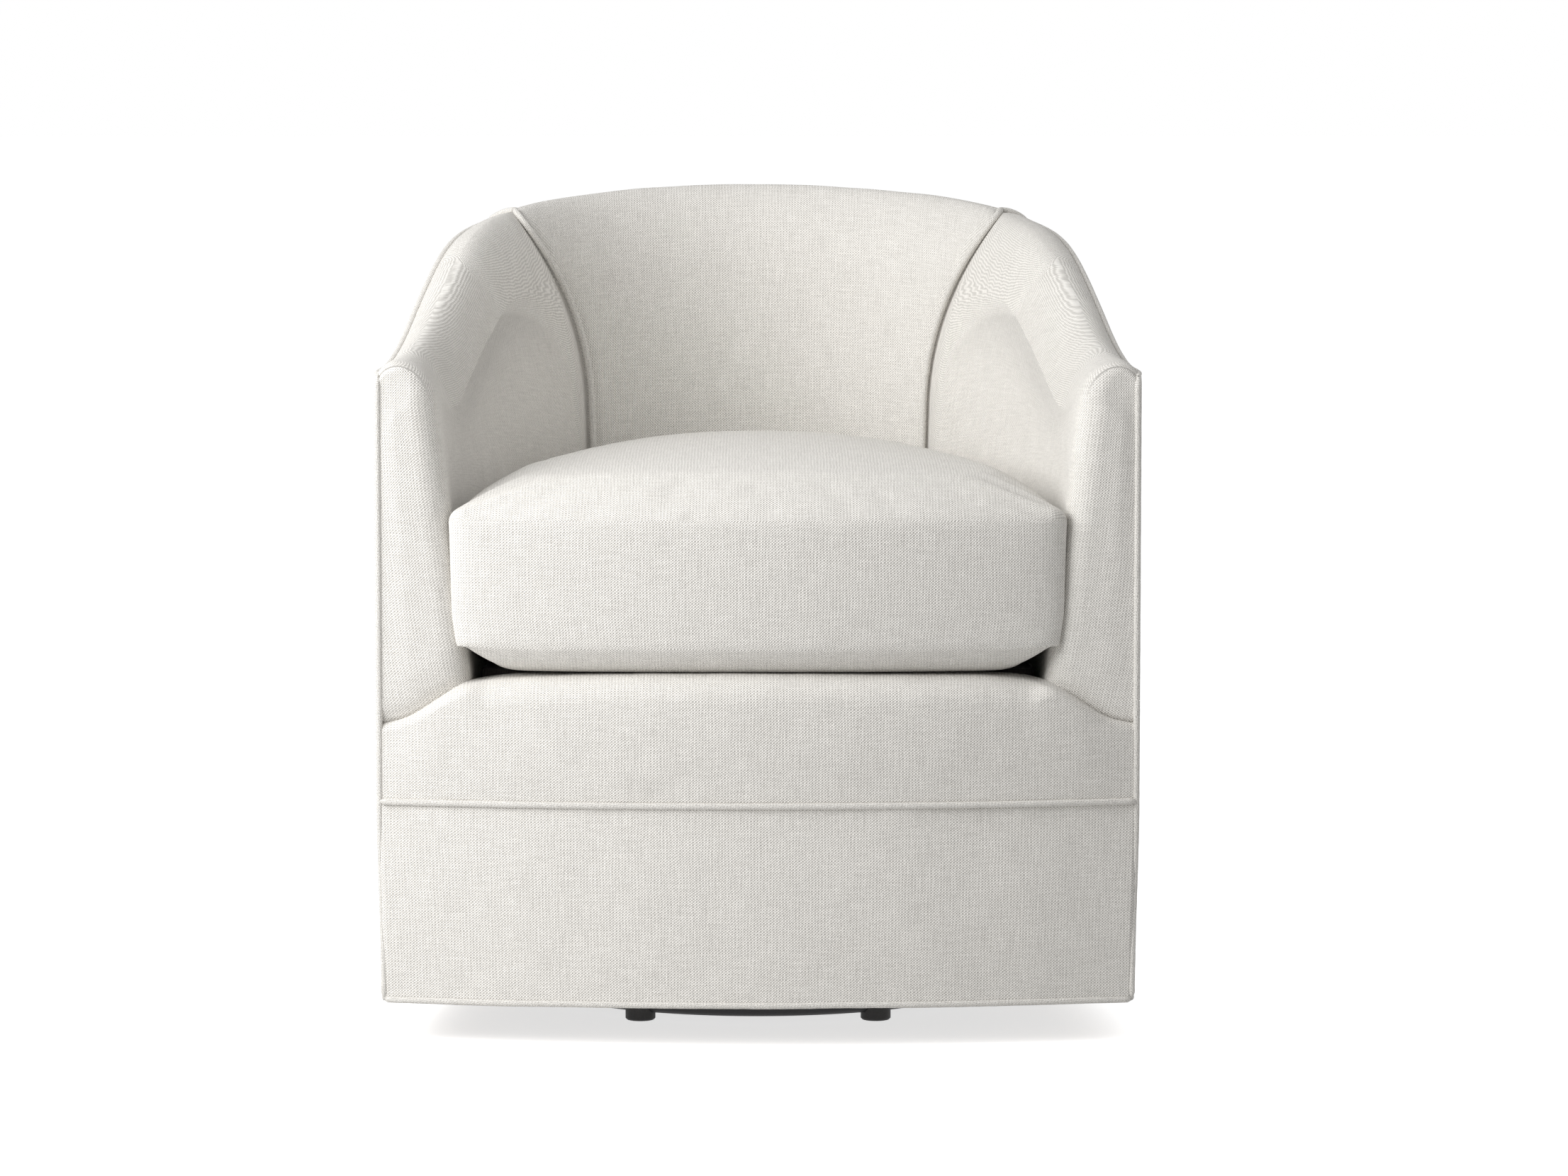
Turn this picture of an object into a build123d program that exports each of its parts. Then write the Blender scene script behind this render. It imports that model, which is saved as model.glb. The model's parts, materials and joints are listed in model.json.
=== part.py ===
"""Upholstered barrel-back swivel chair on a hidden steel ring base, in millimetres.

The origin is on the floor under the swivel axis, +Z is up and the seat faces -Y.
"""
import os
from math import acos, asin, atan2, cos, degrees, radians, sin, sqrt, tan

from build123d import *

os.makedirs("parts", exist_ok=True)

# Plan of the upholstered body: two gently bowed sides, a round back and a bowed front
body_width = 732.0
body_depth = 760.0
front_bow = 40.0
back_radius = 290.0

# Heights of the body above the floor
hem_height = 42.0
band_height = 237.0
lip_height = 362.0
lip_fall = 19.0
arm_height = 665.0
back_height = 817.0
sweep_start = 90.0
sweep_slope = 24.0
sweep_radius = 380.0
shoulder_radius = 560.0
back_slope = 6.3
edge_rounding_share = 0.95

# Padded wall, measured inward from its outside
arm_deck_thickness = 92.0
arm_top_thickness = 58.0
back_deck_thickness = 150.0
back_top_thickness = 90.0
thickening_power = 2.6
arm_crown_inset = 20.0
back_crown_inset = 45.0
welt_drop = 13.0
arm_front_depth = 40.0
arm_front_rounding = 22.0
arm_front_low = 318.0
arm_front_rise = 33.0
lip_radius = 28.0
lip_depth = 70.0

# Inside back panel, between its two seams, as half widths in a front view
seam_low_half = 165.0
seam_bend_half = 174.0
seam_bend_height = 590.0
seam_top_half = 285.0
back_seam_angle = 6.0

# Fabric, cord and fits
cover_thickness = 2.0
welt_diameter = 6.5
welt_proud = 1.3
welt_bed = 0.8
soft_gap = 0.3
joint_gap = 0.2
running_gap = 0.1

# Hardwood frame
frame_thickness = 24.0
bottom_rail_height = 50.0
seat_rail_bottom = 210.0
seat_rail_top = 318.0
top_rail_height = 45.0
top_rail_drop = 30.0
front_post_start = 8.0
front_post_width = 50.0
back_post_angle = 8.0
front_rail_rebate = 12.0
cross_rail_width = 60.0
cross_rail_height = 40.0
cross_rail_spacing = 220.0

# Webbing and seat suspension
webbing_width = 50.0
webbing_thickness = 1.8
webbing_lap = 70.0
arm_webbing_count = 3
spring_count = 4
spring_spacing = 118.0
spring_bars = 13
spring_width = 48.0
spring_wire = 3.8
spring_bend = 15.0
spring_free_end = 0.45
clip_plate = 1.2
clip_width = 14.0
clip_length = 18.0
spring_space = 8.0
insulator_thickness = 1.5
deck_clearance = 4.0
sheet_thickness = 1.2

# Loose seat cushion
cushion_bottom_seam = 389.0
cushion_top_seam = 513.0
cushion_height = 554.0
cushion_side_gap = 8.0
cushion_swell = 3.0
cushion_front_inset = 3.0
cushion_corner = 24.0

# Swivel base
ring_diameter = 470.0
bar_diameter = 16.0
spider_bend = 50.0
spider_count = 4
glide_count = 6
glide_diameter = 30.0
glide_height = 14.0
glide_stand = 8.0
hub_diameter = 80.0
hub_height = 26.0
plate_thickness = 4.0
lower_plate_diameter = 212.0
race_pitch = 170.0
race_width = 20.0
race_height = 6.0
race_split = 3.0
ball_diameter = 9.5
ball_count = 18
cage_thickness = 1.6
top_plate_size = 270.0
top_plate_thickness = 5.0
pin_diameter = 20.0
pin_head_diameter = 34.0
pin_head_height = 8.0
bush_wall = 3.0
bush_flange = 6.0
bush_flange_height = 3.0
washer_diameter = 44.0
washer_height = 3.0
nut_flats = 30.0
nut_height = 16.0
bolt_diameter = 8.0
bolt_head_flats = 13.0
bolt_head_height = 5.3
tee_nut_diameter = 22.0
tee_nut_flange = 2.0
tee_nut_barrel = 11.0
tee_nut_depth = 14.0

# Sizes that follow
half_width = body_width / 2
wall_depth = body_depth - front_bow
front_y = front_bow - body_depth / 2
bow_radius = (half_width**2 + front_bow**2) / (2 * front_bow)
bow_centre_y = front_y - front_bow + bow_radius
welt_radius = welt_diameter / 2
welt_clear = welt_radius + joint_gap
frame_outside = cover_thickness + soft_gap
frame_inside = frame_outside + frame_thickness
webbing_outside = frame_inside + soft_gap
pad_outside = webbing_outside + webbing_thickness + soft_gap
roll_start = welt_radius + soft_gap + cover_thickness / 4
deck_foot = seat_rail_top + spring_space
deck_top = lip_height - soft_gap
front_rail_front = frame_outside + front_rail_rebate
front_rail_inside = front_rail_front + frame_thickness
bottom_rail_bottom = hem_height + welt_clear + soft_gap
bottom_rail_top = bottom_rail_bottom + bottom_rail_height
hem_welt_in = cover_thickness / 2
side_margin = hem_welt_in + welt_radius + soft_gap
front_half = half_width - side_margin


class TubPlan:
    """Plan of two bowed sides that run into a round back; angles are the way the outside faces."""

    def __init__(self, half, depth, radius):
        self.radius = radius
        self.centre_depth = depth - radius
        self.side_radius = (half**2 + self.centre_depth**2 - radius**2) / (2 * (half - radius))
        self.side_x = half - self.side_radius
        self.turn = degrees(atan2(self.centre_depth, -self.side_x))
        self.turn_depth = self.side_radius * sin(radians(self.turn))

    def side_angle(self, depth):
        """The way the side faces at a depth behind the arm fronts."""
        return degrees(asin(depth / self.side_radius))

    def point(self, angle, inset=0.0):
        """Plan point at a distance inside the outside."""
        across = cos(radians(angle))
        along = sin(radians(angle))
        if self.turn <= angle <= 180 - self.turn:
            reach = self.radius - inset
            return (reach * across, front_y + self.centre_depth + reach * along)
        hand = 1 if angle < 90 else -1
        reach = self.side_radius - inset
        return (hand * self.side_x + reach * across, front_y + reach * along)

    def draw(self, start, end, inset=0.0):
        """Draw the arcs from one facing angle to another."""
        stops = [start, *[stop for stop in (self.turn, 180 - self.turn) if start < stop < end], end]
        for first, last in zip(stops, stops[1:]):
            middle = (first + last) / 2
            ThreePointArc(self.point(first, inset), self.point(middle, inset), self.point(last, inset))

    def half_at(self, depth):
        """Half width at a depth behind the arm fronts, up to the turn into the back."""
        return self.side_x + sqrt(self.side_radius**2 - depth**2)


body = TubPlan(half_width, wall_depth, back_radius)
back_seam = body.turn + back_seam_angle


def even_steps(first, last, count):
    """Values spaced evenly from first to last, both ends included."""
    return [first + (last - first) * i / count for i in range(count + 1)]


def bow_y(x, distance=0.0):
    """Front-to-back place of the bowed front at a half width, at a distance inside."""
    return bow_centre_y - sqrt((bow_radius - distance) ** 2 - x**2)


# Side view of the top edge: level arm, rising sweep, rounded shoulder, gently rising back
sweep_rise = radians(sweep_slope)
back_rise = radians(back_slope)
steepening = tan(sweep_rise) - tan(back_rise)

# Both roundings of the top edge are held to a share of the straight runs on either side of them
hollow_tangent = sweep_radius * tan(sweep_rise / 2)
shoulder_tangent = shoulder_radius * tan((sweep_rise - back_rise) / 2)
bare_sweep = (back_height - arm_height - (wall_depth - sweep_start) * tan(back_rise)) / steepening
bare_back = wall_depth - sweep_start - bare_sweep
corner_shift = hollow_tangent * tan(back_rise) / steepening
sweep_need = (hollow_tangent + shoulder_tangent) * cos(sweep_rise) - corner_shift
back_need = hollow_tangent + corner_shift + shoulder_tangent * cos(back_rise)
rounding_room = min(bare_sweep / sweep_need, bare_back / back_need)
hollow_radius = sweep_radius * min(1, edge_rounding_share * rounding_room)
crest_radius = shoulder_radius * min(1, edge_rounding_share * rounding_room)

hollow_end = sweep_start + hollow_radius * sin(sweep_rise)
hollow_top = arm_height + hollow_radius * (1 - cos(sweep_rise))
shoulder_run = crest_radius * (sin(sweep_rise) - sin(back_rise))
shoulder_climb = crest_radius * (cos(back_rise) - cos(sweep_rise))
back_climb = (wall_depth - hollow_end - shoulder_run) * tan(back_rise)
left_over = back_height - hollow_top - shoulder_climb - back_climb
sweep_run = left_over / steepening
shoulder_start = hollow_end + sweep_run
shoulder_end = shoulder_start + shoulder_run
shoulder_low = hollow_top + sweep_run * tan(sweep_rise)
shoulder_top = shoulder_low + shoulder_climb


def crown_at(depth):
    """Height of the top edge at a depth behind the arm fronts."""
    if depth < sweep_start:
        return arm_height
    if depth < hollow_end:
        return arm_height + hollow_radius - sqrt(hollow_radius**2 - (depth - sweep_start) ** 2)
    if depth < shoulder_start:
        return hollow_top + (depth - hollow_end) * tan(sweep_rise)
    if depth < shoulder_end:
        centre = shoulder_end + crest_radius * sin(back_rise)
        drop = crest_radius * cos(back_rise) - sqrt(crest_radius**2 - (centre - depth) ** 2)
        return shoulder_top - drop
    return shoulder_top + (depth - shoulder_end) * tan(back_rise)


def keep_below_top(drop, mode=Mode.INTERSECT):
    """Keep, or cut, what lies at least a drop below the top edge seen from the side."""
    far = wall_depth + front_bow

    def place(depth):
        return (front_y + depth, crown_at(depth) - drop)

    with BuildSketch(Plane.YZ) as outline:
        with BuildLine():
            Line((front_y - front_bow, arm_height - drop), place(sweep_start))
            ThreePointArc(place(sweep_start), place((sweep_start + hollow_end) / 2), place(hollow_end))
            Line(place(hollow_end), place(shoulder_start))
            shoulder_middle = (shoulder_start + shoulder_end) / 2
            ThreePointArc(place(shoulder_start), place(shoulder_middle), place(shoulder_end))
            Polyline(
                place(shoulder_end),
                place(far),
                (front_y + far, -back_height),
                (front_y - front_bow, -back_height),
                (front_y - front_bow, arm_height - drop),
            )
        make_face()
    extrude(outline.sketch, amount=body_width, both=True, mode=mode)


def wall_band(near, far, start, end, foot, head, mode=Mode.ADD):
    """An upright slice of the wall between two distances from the outside and two facing angles."""
    with BuildSketch(Plane.XY.offset(foot)) as band:
        with BuildLine():
            body.draw(start, end, near)
            body.draw(start, end, far)
            Line(body.point(start, near), body.point(start, far))
            Line(body.point(end, near), body.point(end, far))
        make_face()
    extrude(band.sketch, amount=head - foot, mode=mode)


def front_band(near, far, half, foot, head, mode=Mode.ADD):
    """An upright slice of the bowed front between two distances from it, cut square at a half width."""
    with BuildSketch(Plane.XY.offset(foot)) as band:
        with BuildLine():
            ThreePointArc((-half, bow_y(half, near)), (0, bow_y(0, near)), (half, bow_y(half, near)))
            ThreePointArc((-half, bow_y(half, far)), (0, bow_y(0, far)), (half, bow_y(half, far)))
            Line((-half, bow_y(half, near)), (-half, bow_y(half, far)))
            Line((half, bow_y(half, near)), (half, bow_y(half, far)))
        make_face()
    extrude(band.sketch, amount=head - foot, mode=mode)


class Section:
    """Upright section square to the outside: local X runs inward from it and local Y runs up."""

    def __init__(self, x, y, facing):
        across = cos(radians(facing))
        along = sin(radians(facing))
        self.plane = Plane(origin=(x, y, 0), x_dir=(-across, -along, 0), z_dir=(-along, across, 0))
        self.x = x
        depth = y - front_y
        share = (max(depth, 0) / wall_depth) ** thickening_power
        self.deck_thickness = arm_deck_thickness + (back_deck_thickness - arm_deck_thickness) * share
        self.top_thickness = arm_top_thickness + (back_top_thickness - arm_top_thickness) * share
        self.crest = arm_crown_inset + (back_crown_inset - arm_crown_inset) * share
        self.roll_radius = self.top_thickness - self.crest
        self.edge_radius = (self.crest**2 + welt_drop**2) / (2 * welt_drop)
        self.crown = crown_at(depth)
        self.roll_foot = self.crown - self.roll_radius

    def face_at(self, height):
        """Distance from the outside to the padded inside face at a height under the roll."""
        share = (height - deck_foot) / (self.roll_foot - deck_foot)
        return self.deck_thickness + (self.top_thickness - self.deck_thickness) * share

    def edge_at(self, distance):
        """Height of the rounded outer edge at a distance from the outside."""
        return self.crown - self.edge_radius + sqrt(self.edge_radius**2 - (self.crest - distance) ** 2)


def wall_section(angle):
    return Section(*body.point(angle), angle)


def front_section(x):
    turn = asin(x / bow_radius)
    return Section(x, bow_y(x), degrees(turn) - 90)


def section_loft(sections, draw):
    """Loft the closed outline that draw makes at each section."""
    faces = []
    for section in sections:
        with BuildSketch(section.plane) as outline:
            with BuildLine():
                draw(section)
            make_face()
        faces.append(outline.sketch)
    loft(faces)


def draw_roll(section):
    """The rounded top: from the welt up to the crest, then a quarter turn down to the inside face."""
    middle = (roll_start + section.crest) / 2
    reach = section.roll_radius * sqrt(0.5)
    ThreePointArc(
        (roll_start, section.edge_at(roll_start)),
        (middle, section.edge_at(middle)),
        (section.crest, section.crown),
    )
    ThreePointArc(
        (section.crest, section.crown),
        (section.crest + reach, section.roll_foot + reach),
        (section.top_thickness, section.roll_foot),
    )


def draw_wall(section):
    """The whole padded wall above the deck's foot."""
    draw_roll(section)
    Polyline(
        (section.top_thickness, section.roll_foot),
        (section.deck_thickness, deck_foot),
        (roll_start, deck_foot),
        (roll_start, section.edge_at(roll_start)),
    )


# Seam of the inside back panel in a front view: straight, then a flaring arc
seam_top_height = back_height + welt_drop
seam_foot = deck_foot - welt_drop
seam_run = seam_top_half - seam_bend_half
seam_rise = seam_top_height - seam_bend_height
seam_lean = atan2(seam_bend_half - seam_low_half, seam_bend_height - seam_foot)
seam_radius = (seam_run**2 + seam_rise**2) / (2 * (seam_run * cos(seam_lean) - seam_rise * sin(seam_lean)))
seam_centre_x = seam_bend_half + seam_radius * cos(seam_lean)
seam_centre_z = seam_bend_height - seam_radius * sin(seam_lean)


def seam_bend_at(shift):
    """Height where the seam, shifted outward square to itself, starts to flare."""
    return seam_bend_height - shift * sin(seam_lean)


def seam_half(height, shift=0.0):
    """Half width of the inside back panel at a height, with its seam shifted outward."""
    if height < seam_bend_at(shift):
        return seam_bend_half + shift / cos(seam_lean) - (seam_bend_height - height) * tan(seam_lean)
    return seam_centre_x - sqrt((seam_radius - shift) ** 2 - (height - seam_centre_z) ** 2)


def cut_back_panel(shift, mode):
    """The inside back panel's outline in a front view, shifted outward, through the whole depth."""
    bend = seam_bend_at(shift)
    heights = (seam_foot, bend, (bend + seam_top_height) / 2, seam_top_height)
    foot, low, middle, high = [(seam_half(height, shift), height) for height in heights]
    with BuildSketch(Plane.XZ) as outline:
        with BuildLine():
            Line(foot, low)
            ThreePointArc(low, middle, high)
            Polyline(high, (0, seam_top_height), (0, seam_foot), foot)
        make_face()
        mirror(about=Plane.YZ)
    extrude(outline.sketch, amount=body_depth, both=True, mode=mode)


# Hidden swivel base
ring_z = glide_stand + bar_diameter / 2
ring_radius = ring_diameter / 2
race_radius = race_pitch / 2
seat_carrier_bottom = seat_rail_bottom - joint_gap - cross_rail_height
top_plate_z = seat_carrier_bottom - top_plate_thickness
upper_race_z = top_plate_z - race_height
lower_race_z = upper_race_z - race_split - race_height
lower_plate_z = lower_race_z - plate_thickness
hub_z = lower_plate_z - hub_height
spider_z = hub_z + hub_height / 2
ball_z = upper_race_z - race_split / 2
groove_radius = ball_diameter / 2 + running_gap

with BuildPart() as floor_ring:
    with Locations((0, 0, ring_z)):
        Torus(ring_radius, bar_diameter / 2)

with BuildPart() as base_hub:
    with BuildSketch(Plane.XY.offset(hub_z)):
        Circle(hub_diameter / 2)
        Circle(pin_diameter / 2, mode=Mode.SUBTRACT)
    extrude(amount=hub_height)

with BuildPart() as spider_arms:
    for turn in range(spider_count):
        radial = Plane.XZ.rotated((0, 0, 45 + 360 / spider_count * turn))
        with BuildLine(radial) as arm_path:
            FilletPolyline((0, spider_z), (ring_radius, spider_z), (ring_radius, ring_z), radius=spider_bend)
        with BuildSketch(Plane(origin=arm_path.line @ 0, z_dir=arm_path.line % 0)):
            Circle(bar_diameter / 2)
        sweep(path=arm_path.line)
    with Locations((0, 0, spider_z)):
        Cylinder(hub_diameter / 2, hub_height + bar_diameter, mode=Mode.SUBTRACT)
    with Locations((0, 0, ring_z)):
        Torus(ring_radius, bar_diameter / 2, mode=Mode.SUBTRACT)

with BuildPart() as floor_glides:
    with BuildSketch():
        with PolarLocations(ring_radius, glide_count):
            Circle(glide_diameter / 2)
    extrude(amount=glide_height)
    chamfer(floor_glides.edges().group_by(Axis.Z)[0], length=glide_stand / 5)
    with Locations((0, 0, ring_z)):
        Torus(ring_radius, bar_diameter / 2 + running_gap, mode=Mode.SUBTRACT)

with BuildPart() as lower_plate:
    with BuildSketch(Plane.XY.offset(lower_plate_z)):
        Circle(lower_plate_diameter / 2)
        Circle(pin_diameter / 2, mode=Mode.SUBTRACT)
    extrude(amount=plate_thickness)
    plate_rims = lower_plate.edges().filter_by(GeomType.CIRCLE).sort_by(SortBy.RADIUS)[-2:]
    fillet(plate_rims, radius=plate_thickness / 4)

with BuildPart() as lower_race:
    with BuildSketch(Plane.XY.offset(lower_race_z)):
        Circle(race_radius + race_width / 2)
        Circle(race_radius - race_width / 2, mode=Mode.SUBTRACT)
    extrude(amount=race_height)
    with Locations((0, 0, ball_z)):
        Torus(race_radius, groove_radius, mode=Mode.SUBTRACT)

with BuildPart() as upper_race:
    with BuildSketch(Plane.XY.offset(upper_race_z)):
        Circle(race_radius + race_width / 2)
        Circle(race_radius - race_width / 2, mode=Mode.SUBTRACT)
    extrude(amount=race_height)
    with Locations((0, 0, ball_z)):
        Torus(race_radius, groove_radius, mode=Mode.SUBTRACT)

with BuildPart() as bearing_balls:
    with Locations((0, 0, ball_z)):
        with PolarLocations(race_radius, ball_count):
            Sphere(ball_diameter / 2)

with BuildPart() as ball_cage:
    with BuildSketch(Plane.XY.offset(ball_z - cage_thickness / 2)):
        Circle(race_radius + race_width / 2)
        Circle(race_radius - race_width / 2, mode=Mode.SUBTRACT)
        with PolarLocations(race_radius, ball_count):
            Circle(groove_radius, mode=Mode.SUBTRACT)
    extrude(amount=cage_thickness)

# Pin, bush, washer and nut on the swivel axis
bush_bore = pin_diameter / 2 + running_gap
bush_radius = bush_bore + bush_wall
bush_top = top_plate_z + top_plate_thickness + bush_flange_height
washer_z = bush_top + soft_gap
nut_z = washer_z + washer_height

with BuildPart() as king_pin:
    with BuildSketch(Plane.XY.offset(hub_z - pin_head_height)):
        Circle(pin_head_diameter / 2)
    extrude(amount=pin_head_height)
    chamfer(king_pin.edges().group_by(Axis.Z)[0], length=pin_head_height / 6)
    with BuildSketch(Plane.XY.offset(hub_z)):
        Circle(pin_diameter / 2)
    extrude(amount=nut_z + nut_height + joint_gap - hub_z)
    chamfer(king_pin.edges().group_by(Axis.Z)[-1], length=pin_diameter / 16)

with BuildPart() as pivot_bush:
    with BuildSketch(Plane.XY.offset(top_plate_z)):
        Circle(bush_radius)
    extrude(amount=top_plate_thickness)
    with BuildSketch(Plane.XY.offset(top_plate_z + top_plate_thickness)):
        Circle(bush_radius + bush_flange)
    extrude(amount=bush_flange_height)
    with BuildSketch(Plane.XY.offset(top_plate_z)):
        Circle(bush_bore)
    extrude(amount=top_plate_thickness + bush_flange_height, mode=Mode.SUBTRACT)

with BuildPart() as king_washer:
    with BuildSketch(Plane.XY.offset(washer_z)):
        Circle(washer_diameter / 2)
        Circle(pin_diameter / 2, mode=Mode.SUBTRACT)
    extrude(amount=washer_height)

with BuildPart() as king_nut:
    with BuildSketch(Plane.XY.offset(nut_z)):
        RegularPolygon(nut_flats / 2, 6, major_radius=False)
        Circle(pin_diameter / 2, mode=Mode.SUBTRACT)
    extrude(amount=nut_height)

with BuildPart() as top_plate:
    with BuildSketch(Plane.XY.offset(top_plate_z)):
        RectangleRounded(top_plate_size, top_plate_size, cross_rail_width / 2)
        Circle(bush_radius, mode=Mode.SUBTRACT)
        with GridLocations(cross_rail_spacing, cross_rail_spacing, 2, 2):
            Circle(bolt_diameter / 2, mode=Mode.SUBTRACT)
    extrude(amount=top_plate_thickness)

# Cross rails, with the bolts and sunk tee nuts that hold the top plate under them
cross_rail_top = seat_carrier_bottom + cross_rail_height
bolt_tip = cross_rail_top - tee_nut_flange


def cross_rail(centre_y):
    """Oak rail across the body, as long as the outside lets it be at its rear edge."""
    rear_depth = centre_y + cross_rail_width / 2 - front_y
    length = 2 * (body.half_at(rear_depth) - frame_outside - joint_gap)
    with BuildPart() as rail:
        with BuildSketch(Plane.XY.offset(seat_carrier_bottom)):
            with Locations((0, centre_y)):
                Rectangle(length, cross_rail_width)
        extrude(amount=cross_rail_height)
        with Locations(
            (cross_rail_spacing / 2, centre_y, cross_rail_top),
            (-cross_rail_spacing / 2, centre_y, cross_rail_top),
        ):
            CounterBoreHole(bolt_diameter / 2, tee_nut_diameter / 2, tee_nut_flange)
            Hole(tee_nut_barrel / 2, tee_nut_depth)
    return rail.part


with BuildPart() as front_cross_rail:
    add(cross_rail(-cross_rail_spacing / 2))

with BuildPart() as rear_cross_rail:
    add(cross_rail(cross_rail_spacing / 2))

with BuildPart() as plate_bolts:
    with BuildSketch(Plane.XY.offset(top_plate_z - bolt_head_height)):
        with GridLocations(cross_rail_spacing, cross_rail_spacing, 2, 2):
            RegularPolygon(bolt_head_flats / 2, 6, major_radius=False)
    extrude(amount=bolt_head_height)
    with BuildSketch(Plane.XY.offset(top_plate_z)):
        with GridLocations(cross_rail_spacing, cross_rail_spacing, 2, 2):
            Circle(bolt_diameter / 2)
    extrude(amount=bolt_tip - top_plate_z)

with BuildPart() as plate_nuts:
    with BuildSketch(Plane.XY.offset(cross_rail_top - tee_nut_flange)):
        with GridLocations(cross_rail_spacing, cross_rail_spacing, 2, 2):
            Circle(tee_nut_diameter / 2)
    extrude(amount=tee_nut_flange)
    with BuildSketch(Plane.XY.offset(cross_rail_top - tee_nut_depth)):
        with GridLocations(cross_rail_spacing, cross_rail_spacing, 2, 2):
            Circle(tee_nut_barrel / 2)
            Circle(bolt_diameter / 2, mode=Mode.SUBTRACT)
    extrude(amount=tee_nut_depth - tee_nut_flange)

# Hardwood frame: posts stand full height and the rails run between them
front_post_face = body.side_angle(front_post_start)
front_post_back = body.side_angle(front_post_start + front_post_width)
back_post_front = back_seam - back_post_angle / 2
back_post_rear = back_seam + back_post_angle / 2
front_rail_half = body.half_at(front_post_start + front_post_width) - frame_inside - joint_gap
top_rail_foot = top_rail_drop + top_rail_height
post_head = top_rail_foot + joint_gap


def frame_band(start, end, foot, head):
    wall_band(frame_outside, frame_inside, start, end, foot, head)


with BuildPart() as front_post_right:
    frame_band(front_post_face, front_post_back, bottom_rail_bottom, back_height)
    keep_below_top(post_head)

with BuildPart() as front_post_left:
    mirror(front_post_right.part, about=Plane.YZ)

with BuildPart() as back_post_right:
    frame_band(back_post_front, back_post_rear, bottom_rail_bottom, back_height)
    keep_below_top(post_head)

with BuildPart() as back_post_left:
    mirror(back_post_right.part, about=Plane.YZ)

with BuildPart() as side_seat_rail_right:
    frame_band(front_post_back, back_post_front, seat_rail_bottom, seat_rail_top)

with BuildPart() as side_seat_rail_left:
    mirror(side_seat_rail_right.part, about=Plane.YZ)

with BuildPart() as side_bottom_rail_right:
    frame_band(front_post_back, back_post_front, bottom_rail_bottom, bottom_rail_top)

with BuildPart() as side_bottom_rail_left:
    mirror(side_bottom_rail_right.part, about=Plane.YZ)

with BuildPart() as back_seat_rail:
    frame_band(back_post_rear, 180 - back_post_rear, seat_rail_bottom, seat_rail_top)

with BuildPart() as back_bottom_rail:
    frame_band(back_post_rear, 180 - back_post_rear, bottom_rail_bottom, bottom_rail_top)

with BuildPart() as arm_top_rail_right:
    frame_band(front_post_face, back_seam, seat_rail_top, back_height)
    keep_below_top(top_rail_drop)
    keep_below_top(top_rail_foot, Mode.SUBTRACT)

with BuildPart() as arm_top_rail_left:
    mirror(arm_top_rail_right.part, about=Plane.YZ)

with BuildPart() as back_top_rail:
    frame_band(back_seam, 180 - back_seam, seat_rail_top, back_height)
    keep_below_top(top_rail_drop)
    keep_below_top(top_rail_foot, Mode.SUBTRACT)

# Front rails: the upper one is rebated above the band so that its padding lies flush
band_ledge = band_height + welt_clear

with BuildPart() as front_seat_rail:
    front_band(front_rail_front, front_rail_inside, front_rail_half, seat_rail_bottom, seat_rail_top)
    front_band(frame_outside, front_rail_front, front_rail_half, seat_rail_bottom, band_ledge)

with BuildPart() as front_bottom_rail:
    front_band(frame_outside, frame_inside, front_rail_half, bottom_rail_bottom, bottom_rail_top)

# Dust sheet under the springs, inside the seat rails
sheet_inset = frame_inside + soft_gap
sheet_front = front_rail_inside + soft_gap


def tub_outline(plan, inset, front_distance):
    """Closed plan: a tub at an inset, closed by the bowed front at a distance inside it."""
    angle = 0.0
    for _ in range(6):
        corner_x, _ = plan.point(angle, inset)
        angle = degrees(asin((bow_y(corner_x, front_distance) - front_y) / (plan.side_radius - inset)))
    corner = plan.point(angle, inset)
    plan.draw(angle, 180 - angle, inset)
    ThreePointArc((-corner[0], corner[1]), (0, bow_y(0, front_distance)), corner)


with BuildPart() as dust_sheet:
    with BuildSketch(Plane.XY.offset(seat_rail_bottom + soft_gap)):
        with BuildLine():
            tub_outline(body, sheet_inset, sheet_front)
        make_face()
    extrude(amount=sheet_thickness)

# Sinuous seat springs in clips on the front and back rails
wire_z = seat_rail_top + clip_plate + joint_gap + spring_wire / 2
spring_places = [spring_spacing * (i - (spring_count - 1) / 2) for i in range(spring_count)]
back_rail_middle = back_radius - (frame_outside + frame_inside) / 2


def spring_start(x):
    """Middle of the front rail's top at a half width."""
    return bow_y(x, (front_rail_front + front_rail_inside) / 2)


def spring_end(x):
    """Middle of the back rail's top at a half width."""
    return front_y + body.centre_depth + sqrt(back_rail_middle**2 - x**2)


def spring_pitch(x):
    return (spring_end(x) - spring_start(x)) / (spring_bars - 1)


def sinuous_spring(x):
    """One zigzag of wire: straight bars joined by round turns at alternate ends."""
    corners = []
    for bar in range(spring_bars):
        y = spring_start(x) + spring_pitch(x) * bar
        swing = spring_width / 2 if bar % 2 else -spring_width / 2
        start = swing * (spring_free_end if bar == 0 else 1)
        end = swing * (spring_free_end if bar == spring_bars - 1 else 1)
        corners += [(x + start, y, wire_z), (x - end, y, wire_z)]
    with BuildPart() as spring:
        with BuildLine() as route:
            FilletPolyline(*corners, radius=spring_bend)
        with BuildSketch(Plane(origin=route.line @ 0, z_dir=route.line % 0)):
            Circle(spring_wire / 2)
        sweep(path=route.line)
    return spring.part


with BuildPart() as seat_springs:
    for place in spring_places:
        add(sinuous_spring(place))

print("least gap between spring bars", round(min(spring_pitch(x) for x in spring_places) - spring_wire, 2))

clip_bore = spring_wire / 2 + joint_gap / 2
clip_reach = clip_bore + clip_plate

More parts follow.
